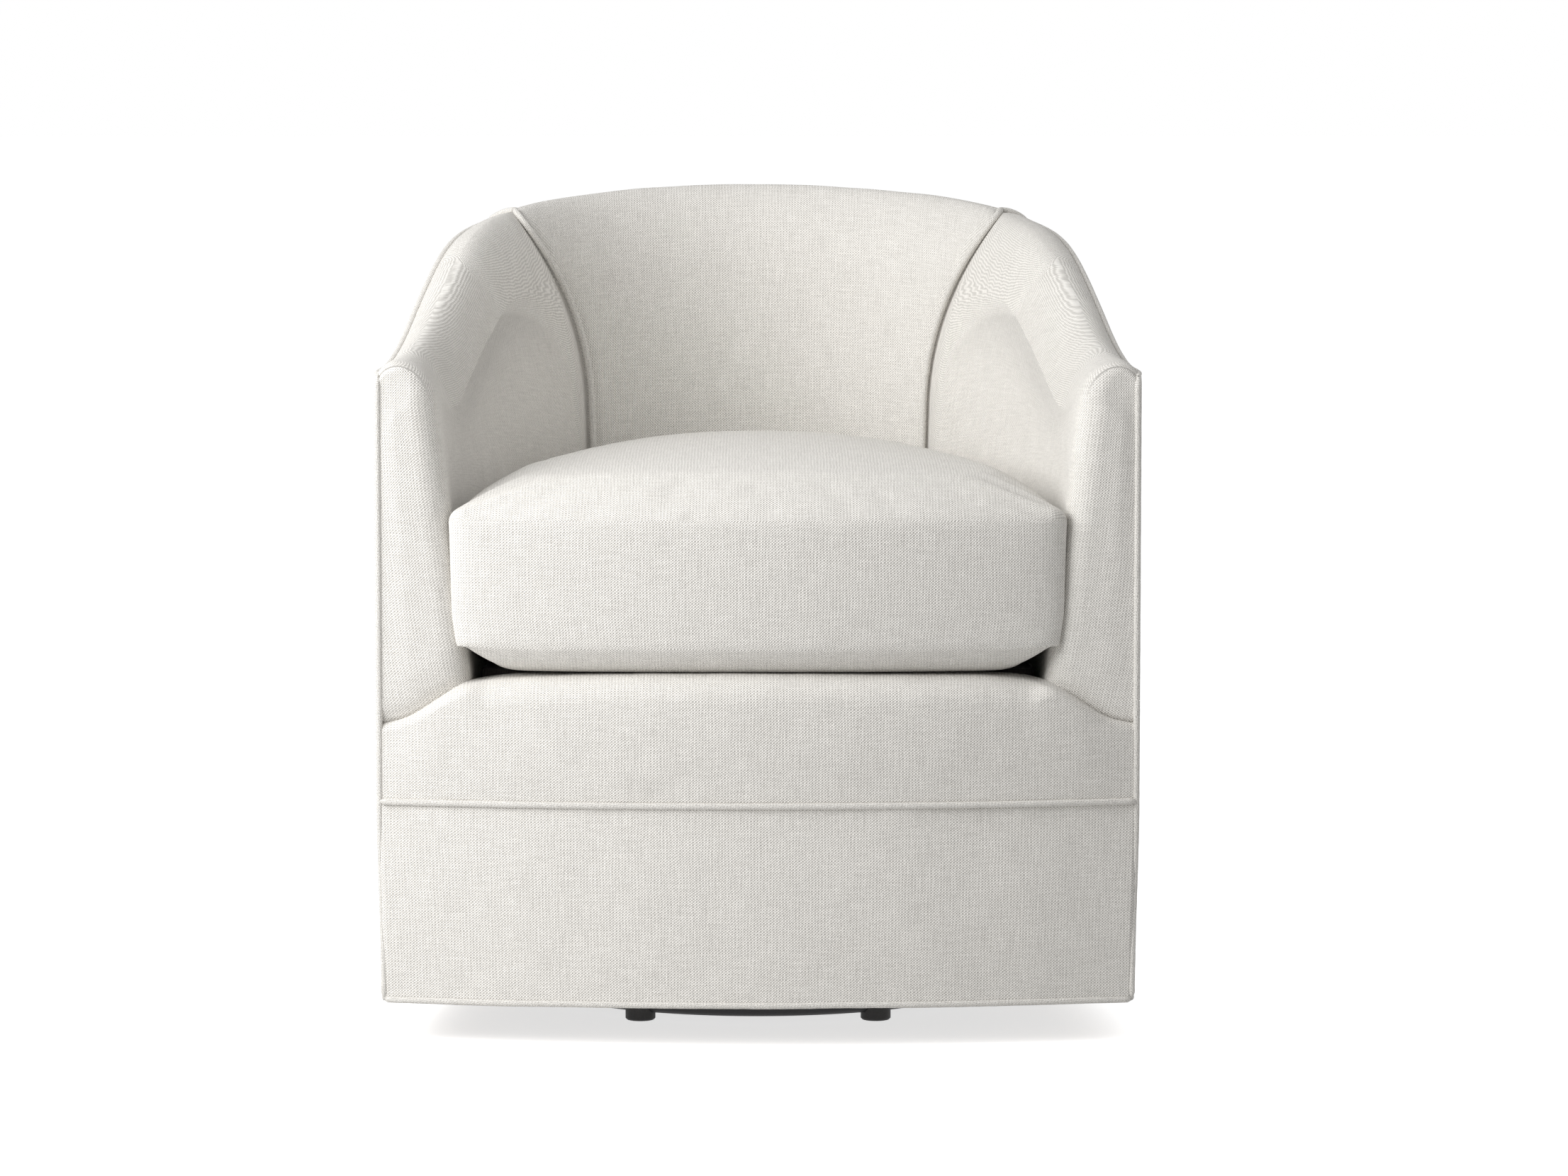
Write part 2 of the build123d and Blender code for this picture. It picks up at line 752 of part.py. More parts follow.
with BuildPart() as spring_clips:
    for place in spring_places:
        for end_y in (spring_start(place), spring_end(place)):
            with BuildSketch(Plane.YZ.offset(place - clip_width / 2)) as clip_outline:
                with Locations((end_y, seat_rail_top)):
                    Rectangle(clip_length, clip_plate, align=(Align.CENTER, Align.MIN))
                    Rectangle(2 * clip_reach, wire_z - seat_rail_top, align=(Align.CENTER, Align.MIN))
                with Locations((end_y, wire_z)):
                    Circle(clip_reach)
                    Circle(clip_bore, mode=Mode.SUBTRACT)
            extrude(clip_outline.sketch, amount=clip_width)

# Webbing strips up the inside of the frame
arm_webbing_half = degrees(webbing_width / 2 / body.side_radius)
back_webbing_half = degrees(webbing_width / 2 / (back_radius - webbing_outside))
arm_webbing_step = (back_post_front - front_post_back) / (arm_webbing_count + 1)
between_springs = [(a + b) / 2 for a, b in zip(spring_places, spring_places[1:])]
webbing_foot = seat_rail_top - webbing_lap
webbing_inside = webbing_outside + webbing_thickness
arm_strips = [front_post_back + arm_webbing_step * (i + 1) for i in range(arm_webbing_count)]
back_strips = [degrees(acos(x / (back_radius - webbing_outside))) for x in between_springs]


def webbing_strip(facing, spread):
    near = facing - spread
    far = facing + spread
    wall_band(webbing_outside, webbing_inside, near, far, webbing_foot, back_height)


with BuildPart() as webbing:
    for facing in arm_strips:
        webbing_strip(facing, arm_webbing_half)
    mirror(about=Plane.YZ)
    for facing in back_strips:
        webbing_strip(facing, back_webbing_half)
    keep_below_top(top_rail_drop)

# Inside arms and back: foam with its fabric, hooked over the top rail, parted by the welted seams
seam_clear = welt_radius + soft_gap
side_turns = [body.side_angle(depth) for depth in even_steps(front_post_start, body.turn_depth, 8)]
back_turns = even_steps(body.turn, 180 - body.turn, 12)
arm_turns = side_turns + back_turns[1:6]
panel_turns = side_turns[5:-1] + back_turns + [180 - turn for turn in side_turns[-2:4:-1]]


def cut_frame_room():
    """Clear the frame and webbing, up to the top of the top rail, out of the padding."""
    room_foot = deck_foot - spring_space
    with BuildPart() as room:
        wall_band(-welt_radius, pad_outside, 0, 180, room_foot, back_height)
        keep_below_top(top_rail_drop - soft_gap)
    add(room.part, mode=Mode.SUBTRACT)


with BuildPart() as inside_arm_right:
    section_loft([wall_section(angle) for angle in arm_turns], draw_wall)
    cut_back_panel(seam_clear, Mode.SUBTRACT)
    cut_frame_room()
    split(bisect_by=Plane.XZ.offset(-front_y - arm_front_depth - soft_gap), keep=Keep.BOTTOM)

with BuildPart() as inside_arm_left:
    mirror(inside_arm_right.part, about=Plane.YZ)

with BuildPart() as inside_back:
    section_loft([wall_section(angle) for angle in panel_turns], draw_wall)
    cut_back_panel(-seam_clear, Mode.INTERSECT)
    cut_frame_room()

# Padded arm fronts, with a slanting foot over the front rail
arm_foot_inner = half_width - arm_deck_thickness
front_wall = Section(half_width, front_y, 0)


def arm_foot(x):
    """Height of the seam under the arm front, rising inward."""
    return arm_front_low + arm_front_rise * (half_width - x) / arm_deck_thickness


def draw_arm_front(section):
    """Face of the arm front: the wall's own outline over the slanting foot."""
    foot = arm_foot(arm_foot_inner)
    draw_roll(section)
    Polyline(
        (section.top_thickness, section.roll_foot),
        (section.face_at(foot), foot),
        (side_margin, arm_foot(front_half)),
        (side_margin, section.edge_at(roll_start)),
        (roll_start, section.edge_at(roll_start)),
    )


with BuildPart() as arm_front_right:
    with BuildSketch(front_wall.plane) as arm_face:
        with BuildLine():
            draw_arm_front(front_wall)
        make_face()
    extrude(arm_face.sketch, amount=arm_front_depth)
    fillet(arm_front_right.edges().group_by(Axis.Y)[0].sort_by(Axis.X)[:1], radius=arm_front_rounding)
    with BuildSketch(Plane.XY) as post_room:
        with Locations((half_width - pad_outside, front_y + front_post_start - soft_gap)):
            Rectangle(body_width, body_depth, align=(Align.MIN, Align.MIN))
    extrude(post_room.sketch, amount=arm_height - top_rail_drop + soft_gap, mode=Mode.SUBTRACT)

with BuildPart() as arm_front_left:
    mirror(arm_front_right.part, about=Plane.YZ)

# Padded front rail, its lip crowned across and cut under the arm fronts


def draw_lip(section):
    crest = lip_height - lip_fall * min(abs(section.x) / arm_foot_inner, 1) ** 2
    corner = lip_radius * (1 - sqrt(0.5))
    ThreePointArc((0, crest - lip_radius), (corner, crest - corner), (lip_radius, crest))
    Polyline(
        (lip_radius, crest),
        (lip_depth, crest),
        (lip_depth, band_ledge + soft_gap),
        (0, band_ledge + soft_gap),
        (0, crest - lip_radius),
    )


with BuildPart() as front_rail_panel:
    section_loft([front_section(half_width * step / 3) for step in (-3, -2, -1, 0, 1, 2, 3)], draw_lip)
    front_band(front_rail_front - soft_gap, 2 * lip_depth, half_width, band_height, deck_foot, Mode.SUBTRACT)
    with BuildSketch(Plane.XZ) as arm_room:
        with BuildLine():
            Polyline(
                (arm_foot_inner - soft_gap, arm_foot(arm_foot_inner) - soft_gap),
                (half_width, arm_foot(half_width) - soft_gap),
                (half_width, arm_height),
                (arm_foot_inner - soft_gap, arm_height),
                close=True,
            )
        make_face()
        mirror(about=Plane.YZ)
    extrude(arm_room.sketch, amount=body_depth, both=True, mode=Mode.SUBTRACT)
    with BuildSketch(Plane.XY) as body_room:
        with Locations((arm_foot_inner - deck_clearance, front_y + front_post_start - soft_gap)):
            Rectangle(body_width, body_depth, align=(Align.MIN, Align.MIN))
        with Locations((front_half, front_y)):
            Rectangle(body_width, body_depth, align=(Align.MIN, Align.CENTER))
        mirror(about=Plane.YZ)
    extrude(body_room.sketch, amount=back_height, mode=Mode.SUBTRACT)

with BuildPart() as front_apron:
    front_band(0, cover_thickness, front_half, hem_height + welt_clear, band_height - welt_clear)

# Outside covers between the welts
outside_start = body.side_angle(side_margin)
corner_gap = degrees((welt_radius + joint_gap) / back_radius)
outside_foot = hem_height + welt_clear

with BuildPart() as outside_arm_right:
    wall_band(0, cover_thickness, outside_start, back_seam - corner_gap, outside_foot, back_height)
    keep_below_top(welt_drop + welt_clear + welt_bed)

with BuildPart() as outside_arm_left:
    mirror(outside_arm_right.part, about=Plane.YZ)

with BuildPart() as outside_back:
    wall_band(
        0,
        cover_thickness,
        back_seam + corner_gap,
        180 - back_seam - corner_gap,
        outside_foot,
        back_height,
    )
    keep_below_top(welt_drop + welt_clear + welt_bed)

# Welts
edge_welt_in = frame_outside - joint_gap - welt_radius


def upright_welt(x, y, foot, head):
    """A vertical welt with a rounded top."""
    with BuildPart() as cord:
        with BuildSketch(Plane.XY.offset(foot)):
            with Locations((x, y)):
                Circle(welt_radius)
        extrude(amount=head - foot)
        fillet(cord.edges().group_by(Axis.Z)[-1], radius=welt_radius * 0.7)
    return cord.part


def front_welt(distance, height):
    """A level welt along the bowed front."""
    with BuildPart() as cord:
        with BuildLine(Plane.XY.offset(height)) as route:
            ends = bow_y(front_half, distance)
            ThreePointArc((-front_half, ends), (0, bow_y(0, distance)), (front_half, ends))
        with BuildSketch(Plane(origin=route.line @ 0, z_dir=route.line % 0)):
            Circle(welt_radius)
        sweep(path=route.line)
    return cord.part


welt_return = [180 - turn for turn in side_turns[-2:0:-1]]

with BuildPart() as top_welt:
    rings = []
    for facing in [outside_start, *side_turns[1:-1], *back_turns, *welt_return, 180 - outside_start]:
        section = wall_section(facing)
        with BuildSketch(section.plane) as ring:
            with Locations((edge_welt_in, section.crown - welt_drop)):
                Circle(welt_radius)
        rings.append(ring.sketch)
    loft(rings)

with BuildPart() as hem_welt:
    with BuildLine(Plane.XY.offset(hem_height)) as hem_route:
        body.draw(outside_start, 180 - outside_start, hem_welt_in)
    with BuildSketch(Plane(origin=hem_route.line @ 0, z_dir=hem_route.line % 0)):
        Circle(welt_radius)
    sweep(path=hem_route.line)
    add(front_welt(hem_welt_in, hem_height))

with BuildPart() as band_welt:
    add(front_welt(edge_welt_in, band_height))

with BuildPart() as side_welt_right:
    add(
        upright_welt(
            half_width - hem_welt_in, front_y + hem_welt_in, hem_height, arm_height - welt_drop + welt_radius
        )
    )

with BuildPart() as side_welt_left:
    mirror(side_welt_right.part, about=Plane.YZ)

corner_foot = body.point(back_seam, edge_welt_in)
corner_head = wall_section(back_seam).crown - welt_drop - welt_clear

with BuildPart() as back_corner_welts:
    add(upright_welt(*corner_foot, outside_foot, corner_head - welt_radius))
    mirror(about=Plane.YZ)


def seam_point(share):
    """Point of the inside back's right seam: up the inside face, then round the roll to the crest."""

    def profile(section):
        foot = deck_top + welt_diameter
        if share <= 1:
            height = foot + (section.roll_foot - foot) * share
            return (section.face_at(height) + welt_proud, height)
        turn = radians(90 * (share - 1))
        reach = section.roll_radius + welt_proud
        return (section.crest + reach * cos(turn), section.roll_foot + reach * sin(turn))

    low = body.turn / 2
    high = 90.0
    for _ in range(40):
        angle = (low + high) / 2
        inward, height = profile(wall_section(angle))
        if body.point(angle, inward)[0] > seam_half(height):
            low = angle
        else:
            high = angle
    return Vector(*body.point(angle, inward), height)


seam_shares = (0, 0.25, 0.45, 0.55, 0.62, 0.69, 0.76, 0.83, 0.89, 0.95, 1, 1.15, 1.3, 1.5, 1.7, 1.9)
seam_bend = 4 * welt_radius

with BuildPart() as inside_back_welt_right:
    with BuildLine() as seam_route:
        FilletPolyline(*[seam_point(share) for share in seam_shares], radius=seam_bend)
    with BuildSketch(Plane(origin=seam_route.line @ 0, z_dir=seam_route.line % 0)):
        Circle(welt_radius)
    sweep(path=seam_route.line)

with BuildPart() as inside_back_welt_left:
    mirror(inside_back_welt_right.part, about=Plane.YZ)

# Seat deck: insulator on the springs, pad and dark cover


def seat_plan(height, gap):
    """Tub plan that clears the padded inside face by a gap at a height.

    It takes its round back from the face at the middle and at the turns, and its sides are as wide as
    the face lets them be.
    """

    def face_point(angle):
        return body.point(angle, wall_section(angle).face_at(height) + gap)

    depth = face_point(90)[1] - front_y
    corner_x, corner_y = face_point(body.turn)
    fall = front_y + depth - corner_y
    radius = (corner_x**2 + fall**2) / (2 * fall)
    stations = [face_point(body.turn * share) for share in (0.2, 0.4, 0.6, 0.8)]
    least = radius + gap / 4
    most = half_width
    for _ in range(40):
        half = (least + most) / 2
        plan = TubPlan(half, depth, radius)
        if any(plan.half_at(y - front_y) > x for x, y in stations):
            most = half
        else:
            least = half
    return plan


deck_front = lip_depth + soft_gap
deck_plan = seat_plan(deck_foot, deck_clearance)


def deck_layer(foot, head):
    with BuildPart() as layer:
        with BuildSketch(Plane.XY.offset(foot)):
            with BuildLine():
                tub_outline(deck_plan, 0, deck_front)
            make_face()
        extrude(amount=head - foot)
    return layer.part


with BuildPart() as deck_insulator:
    add(deck_layer(deck_foot, deck_foot + insulator_thickness))

with BuildPart() as deck_pad:
    add(deck_layer(deck_foot + insulator_thickness + soft_gap, deck_top - cover_thickness - soft_gap))

with BuildPart() as deck_cover:
    add(deck_layer(deck_top - cover_thickness, deck_top))

# Loose boxed cushion: crowned top and bottom panels on a swelling boxing
cushion_foot = lip_height + soft_gap
cushion_middle_y = front_y + wall_depth * 0.36
bottom_rise = cushion_bottom_seam - cushion_foot
boxing_rise = cushion_top_seam - cushion_bottom_seam
top_rise = cushion_height - cushion_top_seam
bottom_panel = [(0, 0.5), (0.1, 0.7), (0.4, 0.88), (1, 1)]
boxing_panel = [(0, 0), (0.5, 1), (1, 0)]
top_panel = [(0, 1), (0.4, 0.9), (0.7, 0.74), (0.92, 0.5), (1, 0.25)]


def cushion_section(height, swell, size):
    """Plan outline of the cushion at a height, swollen and scaled about its middle."""
    with BuildSketch() as outline:
        with BuildLine():
            tub_outline(seat_plan(height, cushion_side_gap - swell), 0, cushion_front_inset - swell)
        make_face()
        fillet(outline.vertices().group_by(Axis.Y)[0], radius=cushion_corner)
    with BuildSketch(Plane((0, cushion_middle_y, height))) as section:
        with Locations((0, -cushion_middle_y * size)):
            add(scale(outline.sketch, by=size, mode=Mode.PRIVATE))
    return section.sketch


def boxing_section(up, out):
    return cushion_section(cushion_bottom_seam + boxing_rise * up, cushion_swell * out, 1)


with BuildPart() as seat_cushion:
    loft([cushion_section(cushion_foot + bottom_rise * up, 0, size) for up, size in bottom_panel])
    loft([boxing_section(up, out) for up, out in boxing_panel])
    loft([cushion_section(cushion_top_seam + top_rise * up, 0, size) for up, size in top_panel])

pieces = {
    "floor_ring": floor_ring,
    "spider_arms": spider_arms,
    "base_hub": base_hub,
    "floor_glides": floor_glides,
    "lower_plate": lower_plate,
    "lower_race": lower_race,
    "king_pin": king_pin,
    "king_washer": king_washer,
    "king_nut": king_nut,
    "bearing_balls": bearing_balls,
    "ball_cage": ball_cage,
    "upper_race": upper_race,
    "top_plate": top_plate,
    "pivot_bush": pivot_bush,
    "plate_bolts": plate_bolts,
    "plate_nuts": plate_nuts,
    "front_cross_rail": front_cross_rail,
    "rear_cross_rail": rear_cross_rail,
    "front_seat_rail": front_seat_rail,
    "side_seat_rail_left": side_seat_rail_left,
    "side_seat_rail_right": side_seat_rail_right,
    "back_seat_rail": back_seat_rail,
    "front_bottom_rail": front_bottom_rail,
    "side_bottom_rail_left": side_bottom_rail_left,
    "side_bottom_rail_right": side_bottom_rail_right,
    "back_bottom_rail": back_bottom_rail,
    "front_post_left": front_post_left,
    "front_post_right": front_post_right,
    "back_post_left": back_post_left,
    "back_post_right": back_post_right,
    "arm_top_rail_left": arm_top_rail_left,
    "arm_top_rail_right": arm_top_rail_right,
    "back_top_rail": back_top_rail,
    "dust_sheet": dust_sheet,
    "seat_springs": seat_springs,
    "spring_clips": spring_clips,
    "webbing": webbing,
    "inside_arm_left": inside_arm_left,
    "inside_arm_right": inside_arm_right,
    "inside_back": inside_back,
    "arm_front_left": arm_front_left,
    "arm_front_right": arm_front_right,
    "front_rail_panel": front_rail_panel,
    "front_apron": front_apron,
    "outside_arm_left": outside_arm_left,
    "outside_arm_right": outside_arm_right,
    "outside_back": outside_back,
    "top_welt": top_welt,
    "hem_welt": hem_welt,
    "band_welt": band_welt,
    "side_welt_left": side_welt_left,
    "side_welt_right": side_welt_right,
    "back_corner_welts": back_corner_welts,
    "inside_back_welt_left": inside_back_welt_left,
    "inside_back_welt_right": inside_back_welt_right,
    "deck_insulator": deck_insulator,
    "deck_pad": deck_pad,
    "deck_cover": deck_cover,
    "seat_cushion": seat_cushion,
}

for name, piece in pieces.items():
    piece.part.label = name
    export_step(piece.part, f"parts/{name}.step")
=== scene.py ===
"""Looks of the upholstered barrel-back swivel chair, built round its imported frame, in metres.

The seat faces -Y, +Z is up and the origin is on the floor under the swivel axis.
"""

import json
from math import asin, atan2, cos, degrees, exp, pi, radians, sin, sqrt, tan

import bpy
import numpy as np
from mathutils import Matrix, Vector, noise

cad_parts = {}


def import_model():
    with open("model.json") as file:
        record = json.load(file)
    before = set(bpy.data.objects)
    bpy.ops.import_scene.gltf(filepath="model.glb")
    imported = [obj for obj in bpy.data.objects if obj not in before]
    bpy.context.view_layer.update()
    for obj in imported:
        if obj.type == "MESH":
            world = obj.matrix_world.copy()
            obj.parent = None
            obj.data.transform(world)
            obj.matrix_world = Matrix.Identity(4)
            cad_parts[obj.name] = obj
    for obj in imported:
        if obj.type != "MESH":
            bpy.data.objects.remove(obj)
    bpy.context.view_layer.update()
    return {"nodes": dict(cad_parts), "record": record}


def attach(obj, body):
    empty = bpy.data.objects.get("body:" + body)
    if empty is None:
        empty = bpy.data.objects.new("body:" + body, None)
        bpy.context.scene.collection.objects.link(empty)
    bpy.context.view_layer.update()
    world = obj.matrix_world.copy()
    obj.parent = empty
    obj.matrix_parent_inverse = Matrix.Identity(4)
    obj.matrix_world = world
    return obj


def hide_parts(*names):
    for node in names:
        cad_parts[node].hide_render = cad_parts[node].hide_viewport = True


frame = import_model()

# Plan and heights of the body, as in the part
HALF_WIDTH = 0.366
WALL_DEPTH = 0.720
BACK_RADIUS = 0.290
FRONT_BOW = 0.040
FRONT_Y = -0.340
HEM_HEIGHT = 0.042
BAND_HEIGHT = 0.237
ARM_HEIGHT = 0.665
BACK_HEIGHT = 0.817
SWEEP_START = 0.090
SWEEP_SLOPE = radians(24.0)
SWEEP_RADIUS = 0.380
SHOULDER_RADIUS = 0.560
BACK_SLOPE = radians(6.3)
DECK_FOOT = 0.326
DECK_TOP = 0.3612
WELT_RADIUS = 0.00325
WELT_DROP = 0.013
EDGE_WELT_IN = -0.00115
HEM_WELT_IN = 0.001

# Padded wall at the arm fronts and at the middle of the back, measured inward from its outside
ARM_DECK_THICKNESS = 0.092
BACK_DECK_THICKNESS = 0.150
ARM_TOP_THICKNESS = 0.058
BACK_TOP_THICKNESS = 0.090
ARM_CREST = 0.020
BACK_CREST = 0.045
THICKENING_POWER = 2.6

# How far the roll is drawn out down the face, and the depths between which that grows
ROLL_SOFTER = 0.045
ROLL_SOFTER_DEPTHS = (0.02, 0.22)

# Share of the wall's profile that the crest and the roll take, from the welt to the deck
CREST_WAY = 0.12
ROLL_WAY = 0.36

# The padding stands fuller over the shoulder of the sweep
SHOULDER_FULL = 0.0095
SHOULDER_FULL_DEPTH = 0.385
SHOULDER_FULL_SPREAD = 0.09

# Seam of the inside back in a front view
SEAM_LOW_HALF = 0.165
SEAM_BEND_HALF = 0.174
SEAM_BEND_HEIGHT = 0.590
SEAM_TOP_HALF = 0.285
SEAM_TOP_HEIGHT = 0.830
SEAM_FOOT = 0.313
BACK_SEAM_TURN = 6.0


def smooth(value, low, high):
    """A soft step from 0 at low to 1 at high."""
    share = np.clip((value - low) / (high - low), 0, 1)
    return share * share * (3 - 2 * share)


class TubPlan:
    """Plan of two bowed sides that run into a round back; angles are the way the outside faces."""

    def __init__(self, half, depth, radius):
        self.radius = radius
        self.centre_depth = depth - radius
        self.side_radius = (half**2 + self.centre_depth**2 - radius**2) / (2 * (half - radius))
        self.side_x = half - self.side_radius
        self.turn = degrees(atan2(self.centre_depth, -self.side_x))

    def side_angle(self, depth):
        return degrees(asin(depth / self.side_radius))

    def point(self, angle, inset=0.0):
        across = cos(radians(angle))
        along = sin(radians(angle))
        if self.turn <= angle <= 180 - self.turn:
            reach = self.radius - inset
            return reach * across, FRONT_Y + self.centre_depth + reach * along
        hand = 1 if angle < 90 else -1
        reach = self.side_radius - inset
        return hand * self.side_x + reach * across, FRONT_Y + reach * along


body = TubPlan(HALF_WIDTH, WALL_DEPTH, BACK_RADIUS)
back_seam = body.turn + BACK_SEAM_TURN
bow_radius = (HALF_WIDTH**2 + FRONT_BOW**2) / (2 * FRONT_BOW)
bow_centre_y = FRONT_Y - FRONT_BOW + bow_radius


def bow_y(x, distance=0.0):
    """Front-to-back place of the bowed front at a half width, at a distance inside."""
    return bow_centre_y - sqrt((bow_radius - distance) ** 2 - x**2)


# Side view of the top edge: level arm, rising sweep, rounded shoulder, gently rising back
hollow_end = SWEEP_START + SWEEP_RADIUS * sin(SWEEP_SLOPE)
hollow_top = ARM_HEIGHT + SWEEP_RADIUS * (1 - cos(SWEEP_SLOPE))
shoulder_run = SHOULDER_RADIUS * (sin(SWEEP_SLOPE) - sin(BACK_SLOPE))
shoulder_climb = SHOULDER_RADIUS * (cos(BACK_SLOPE) - cos(SWEEP_SLOPE))
back_climb = (WALL_DEPTH - hollow_end - shoulder_run) * tan(BACK_SLOPE)
left_over = BACK_HEIGHT - hollow_top - shoulder_climb - back_climb
sweep_run = left_over / (tan(SWEEP_SLOPE) - tan(BACK_SLOPE))
shoulder_start = hollow_end + sweep_run
shoulder_end = shoulder_start + shoulder_run
shoulder_top = hollow_top + sweep_run * tan(SWEEP_SLOPE) + shoulder_climb


def edge_at(depth):
    """Height of the plain top edge at a depth behind the arm fronts."""
    if depth < SWEEP_START:
        return ARM_HEIGHT
    if depth < hollow_end:
        return ARM_HEIGHT + SWEEP_RADIUS - sqrt(SWEEP_RADIUS**2 - (depth - SWEEP_START) ** 2)
    if depth < shoulder_start:
        return hollow_top + (depth - hollow_end) * tan(SWEEP_SLOPE)
    if depth < shoulder_end:
        centre = shoulder_end + SHOULDER_RADIUS * sin(BACK_SLOPE)
        drop = SHOULDER_RADIUS * cos(BACK_SLOPE) - sqrt(SHOULDER_RADIUS**2 - (centre - depth) ** 2)
        return shoulder_top - drop
    return shoulder_top + (depth - shoulder_end) * tan(BACK_SLOPE)


def crown_at(depth):
    """Height of the top edge at a depth behind the arm fronts, with the fuller shoulder."""
    away = (depth - SHOULDER_FULL_DEPTH) / SHOULDER_FULL_SPREAD
    return edge_at(depth) + SHOULDER_FULL * exp(-(away**2))


class Section:
    """Upright section of the padded wall: distances run inward from the outside, heights from the floor."""

    def __init__(self, angle):
        depth = body.point(angle)[1] - FRONT_Y
        share = (max(depth, 0) / WALL_DEPTH) ** THICKENING_POWER
        self.deck_thickness = ARM_DECK_THICKNESS + (BACK_DECK_THICKNESS - ARM_DECK_THICKNESS) * share
        self.top_thickness = ARM_TOP_THICKNESS + (BACK_TOP_THICKNESS - ARM_TOP_THICKNESS) * share
        self.crest = ARM_CREST + (BACK_CREST - ARM_CREST) * share
        self.edge_radius = (self.crest**2 + WELT_DROP**2) / (2 * WELT_DROP)
        self.crown = crown_at(depth)
        roll_radius = self.top_thickness - self.crest
        self.roll_drop = roll_radius + ROLL_SOFTER * float(smooth(depth, *ROLL_SOFTER_DEPTHS))
        self.roll_foot = self.crown - self.roll_drop
        self.lean = (self.deck_thickness - self.top_thickness) / (self.roll_foot - DECK_FOOT)
        self.roll_swell = roll_radius - self.lean * self.roll_drop

    def face_at(self, height):
        """Distance inside of the leaning face at a height."""
        return self.top_thickness + self.lean * max(self.roll_foot - height, 0)

    def profile(self, way):
        """Distance inside and height, for a way from 0 at the welt over crest and roll to 1 at the deck."""
        if way < CREST_WAY:
            distance = self.crest * way / CREST_WAY
            rise = sqrt(self.edge_radius**2 - (self.crest - distance) ** 2)
            return distance, self.crown - self.edge_radius + rise
        if way < ROLL_WAY:
            turn = pi / 2 * (way - CREST_WAY) / (ROLL_WAY - CREST_WAY)
            down = self.roll_drop * (1 - cos(turn))
            return self.crest + self.roll_swell * sin(turn) + self.lean * down, self.crown - down
        height = self.roll_foot + (DECK_FOOT - self.roll_foot) * (way - ROLL_WAY) / (1 - ROLL_WAY)
        return self.face_at(height), height


# Seam of the inside back: straight, then a flaring arc
seam_run = SEAM_TOP_HALF - SEAM_BEND_HALF
seam_rise = SEAM_TOP_HEIGHT - SEAM_BEND_HEIGHT
seam_lean = atan2(SEAM_BEND_HALF - SEAM_LOW_HALF, SEAM_BEND_HEIGHT - SEAM_FOOT)
seam_bulge = seam_run * cos(seam_lean) - seam_rise * sin(seam_lean)
seam_radius = (seam_run**2 + seam_rise**2) / (2 * seam_bulge)
seam_centre_x = SEAM_BEND_HALF + seam_radius * cos(seam_lean)
seam_centre_z = SEAM_BEND_HEIGHT - seam_radius * sin(seam_lean)
SEAM_SEARCH_STEPS = 30


def seam_half(height):
    """Half width of the inside back panel at a height."""
    if height < SEAM_BEND_HEIGHT:
        return SEAM_BEND_HALF - (SEAM_BEND_HEIGHT - height) * tan(seam_lean)
    return seam_centre_x - sqrt(seam_radius**2 - (height - seam_centre_z) ** 2)


def seam_angle(way):
    """Facing angle at which the padded wall meets the right seam, at a way along its section."""
    way = max(way, CREST_WAY)
    low = body.turn / 2
    high = 90.0
    for _ in range(SEAM_SEARCH_STEPS):
        angle = (low + high) / 2
        distance, height = Section(angle).profile(way)
        if body.point(angle, distance)[0] > seam_half(height):
            low = angle
        else:
            high = angle
    return angle


def wall_point(angle, way):
    distance, height = Section(angle).profile(way)
    x, y = body.point(angle, distance)
    return np.array((x, y, height))


# Meshes from grids of points


def grid_normals(points):
    """Unit normals of a grid of points, square to its columns and rows."""
    rows = np.gradient(points, axis=0)
    columns = np.gradient(points, axis=1)
    normals = np.cross(columns, rows)
    return normals / np.maximum(np.linalg.norm(normals, axis=2, keepdims=True), 1e-12)


def line_lengths(points):
    """Length run along a line of points, from 0 at its start."""
    return np.concatenate([[0], np.cumsum(np.linalg.norm(np.diff(points, axis=0), axis=1))])


def run_lengths(points, axis):
    """Length run along an axis of a grid of points."""
    steps = np.linalg.norm(np.diff(points, axis=axis), axis=2)
    zeros = np.zeros_like(np.take(steps, [0], axis=axis))
    return np.concatenate([zeros, np.cumsum(steps, axis=axis)], axis=axis)


def grid_quads(index):
    """Quads between the rows and columns of a grid of vertex numbers."""
    corners = [index[:-1, :-1], index[:-1, 1:], index[1:, 1:], index[1:, :-1]]
    return np.stack(corners, axis=-1).reshape(-1, 4)


def new_piece(name, vertices, faces, uv):
    """A smooth mesh object with a weave map in metres, given one row for each face corner."""
    mesh = bpy.data.meshes.new(name)
    mesh.from_pydata(np.asarray(vertices).tolist(), [], np.asarray(faces).tolist())
    weave = mesh.uv_layers.new(name="weave")
    weave.data.foreach_set("uv", np.asarray(uv, float).ravel())
    mesh.shade_smooth()
    piece = bpy.data.objects.new(name, mesh)
    bpy.context.scene.collection.objects.link(piece)
    return piece


def fabric_mesh(name, points, across, up, flip=False):
    """A sheet of quads over a grid of points; across and up are grids of lengths along the cloth."""
    rows, columns = points.shape[:2]
    quads = grid_quads(np.arange(rows * columns).reshape(rows, columns))
    if flip:
        quads = quads[:, ::-1]
    flat = np.stack([across, up], axis=-1).reshape(-1, 2)
    return new_piece(name, points.reshape(-1, 3), quads, flat[quads.ravel()])


def vertex_places(piece):
    return np.array([vertex.co for vertex in piece.data.vertices])


def place_vertices(piece, places):
    piece.data.vertices.foreach_set("co", places.ravel())
    piece.data.update()


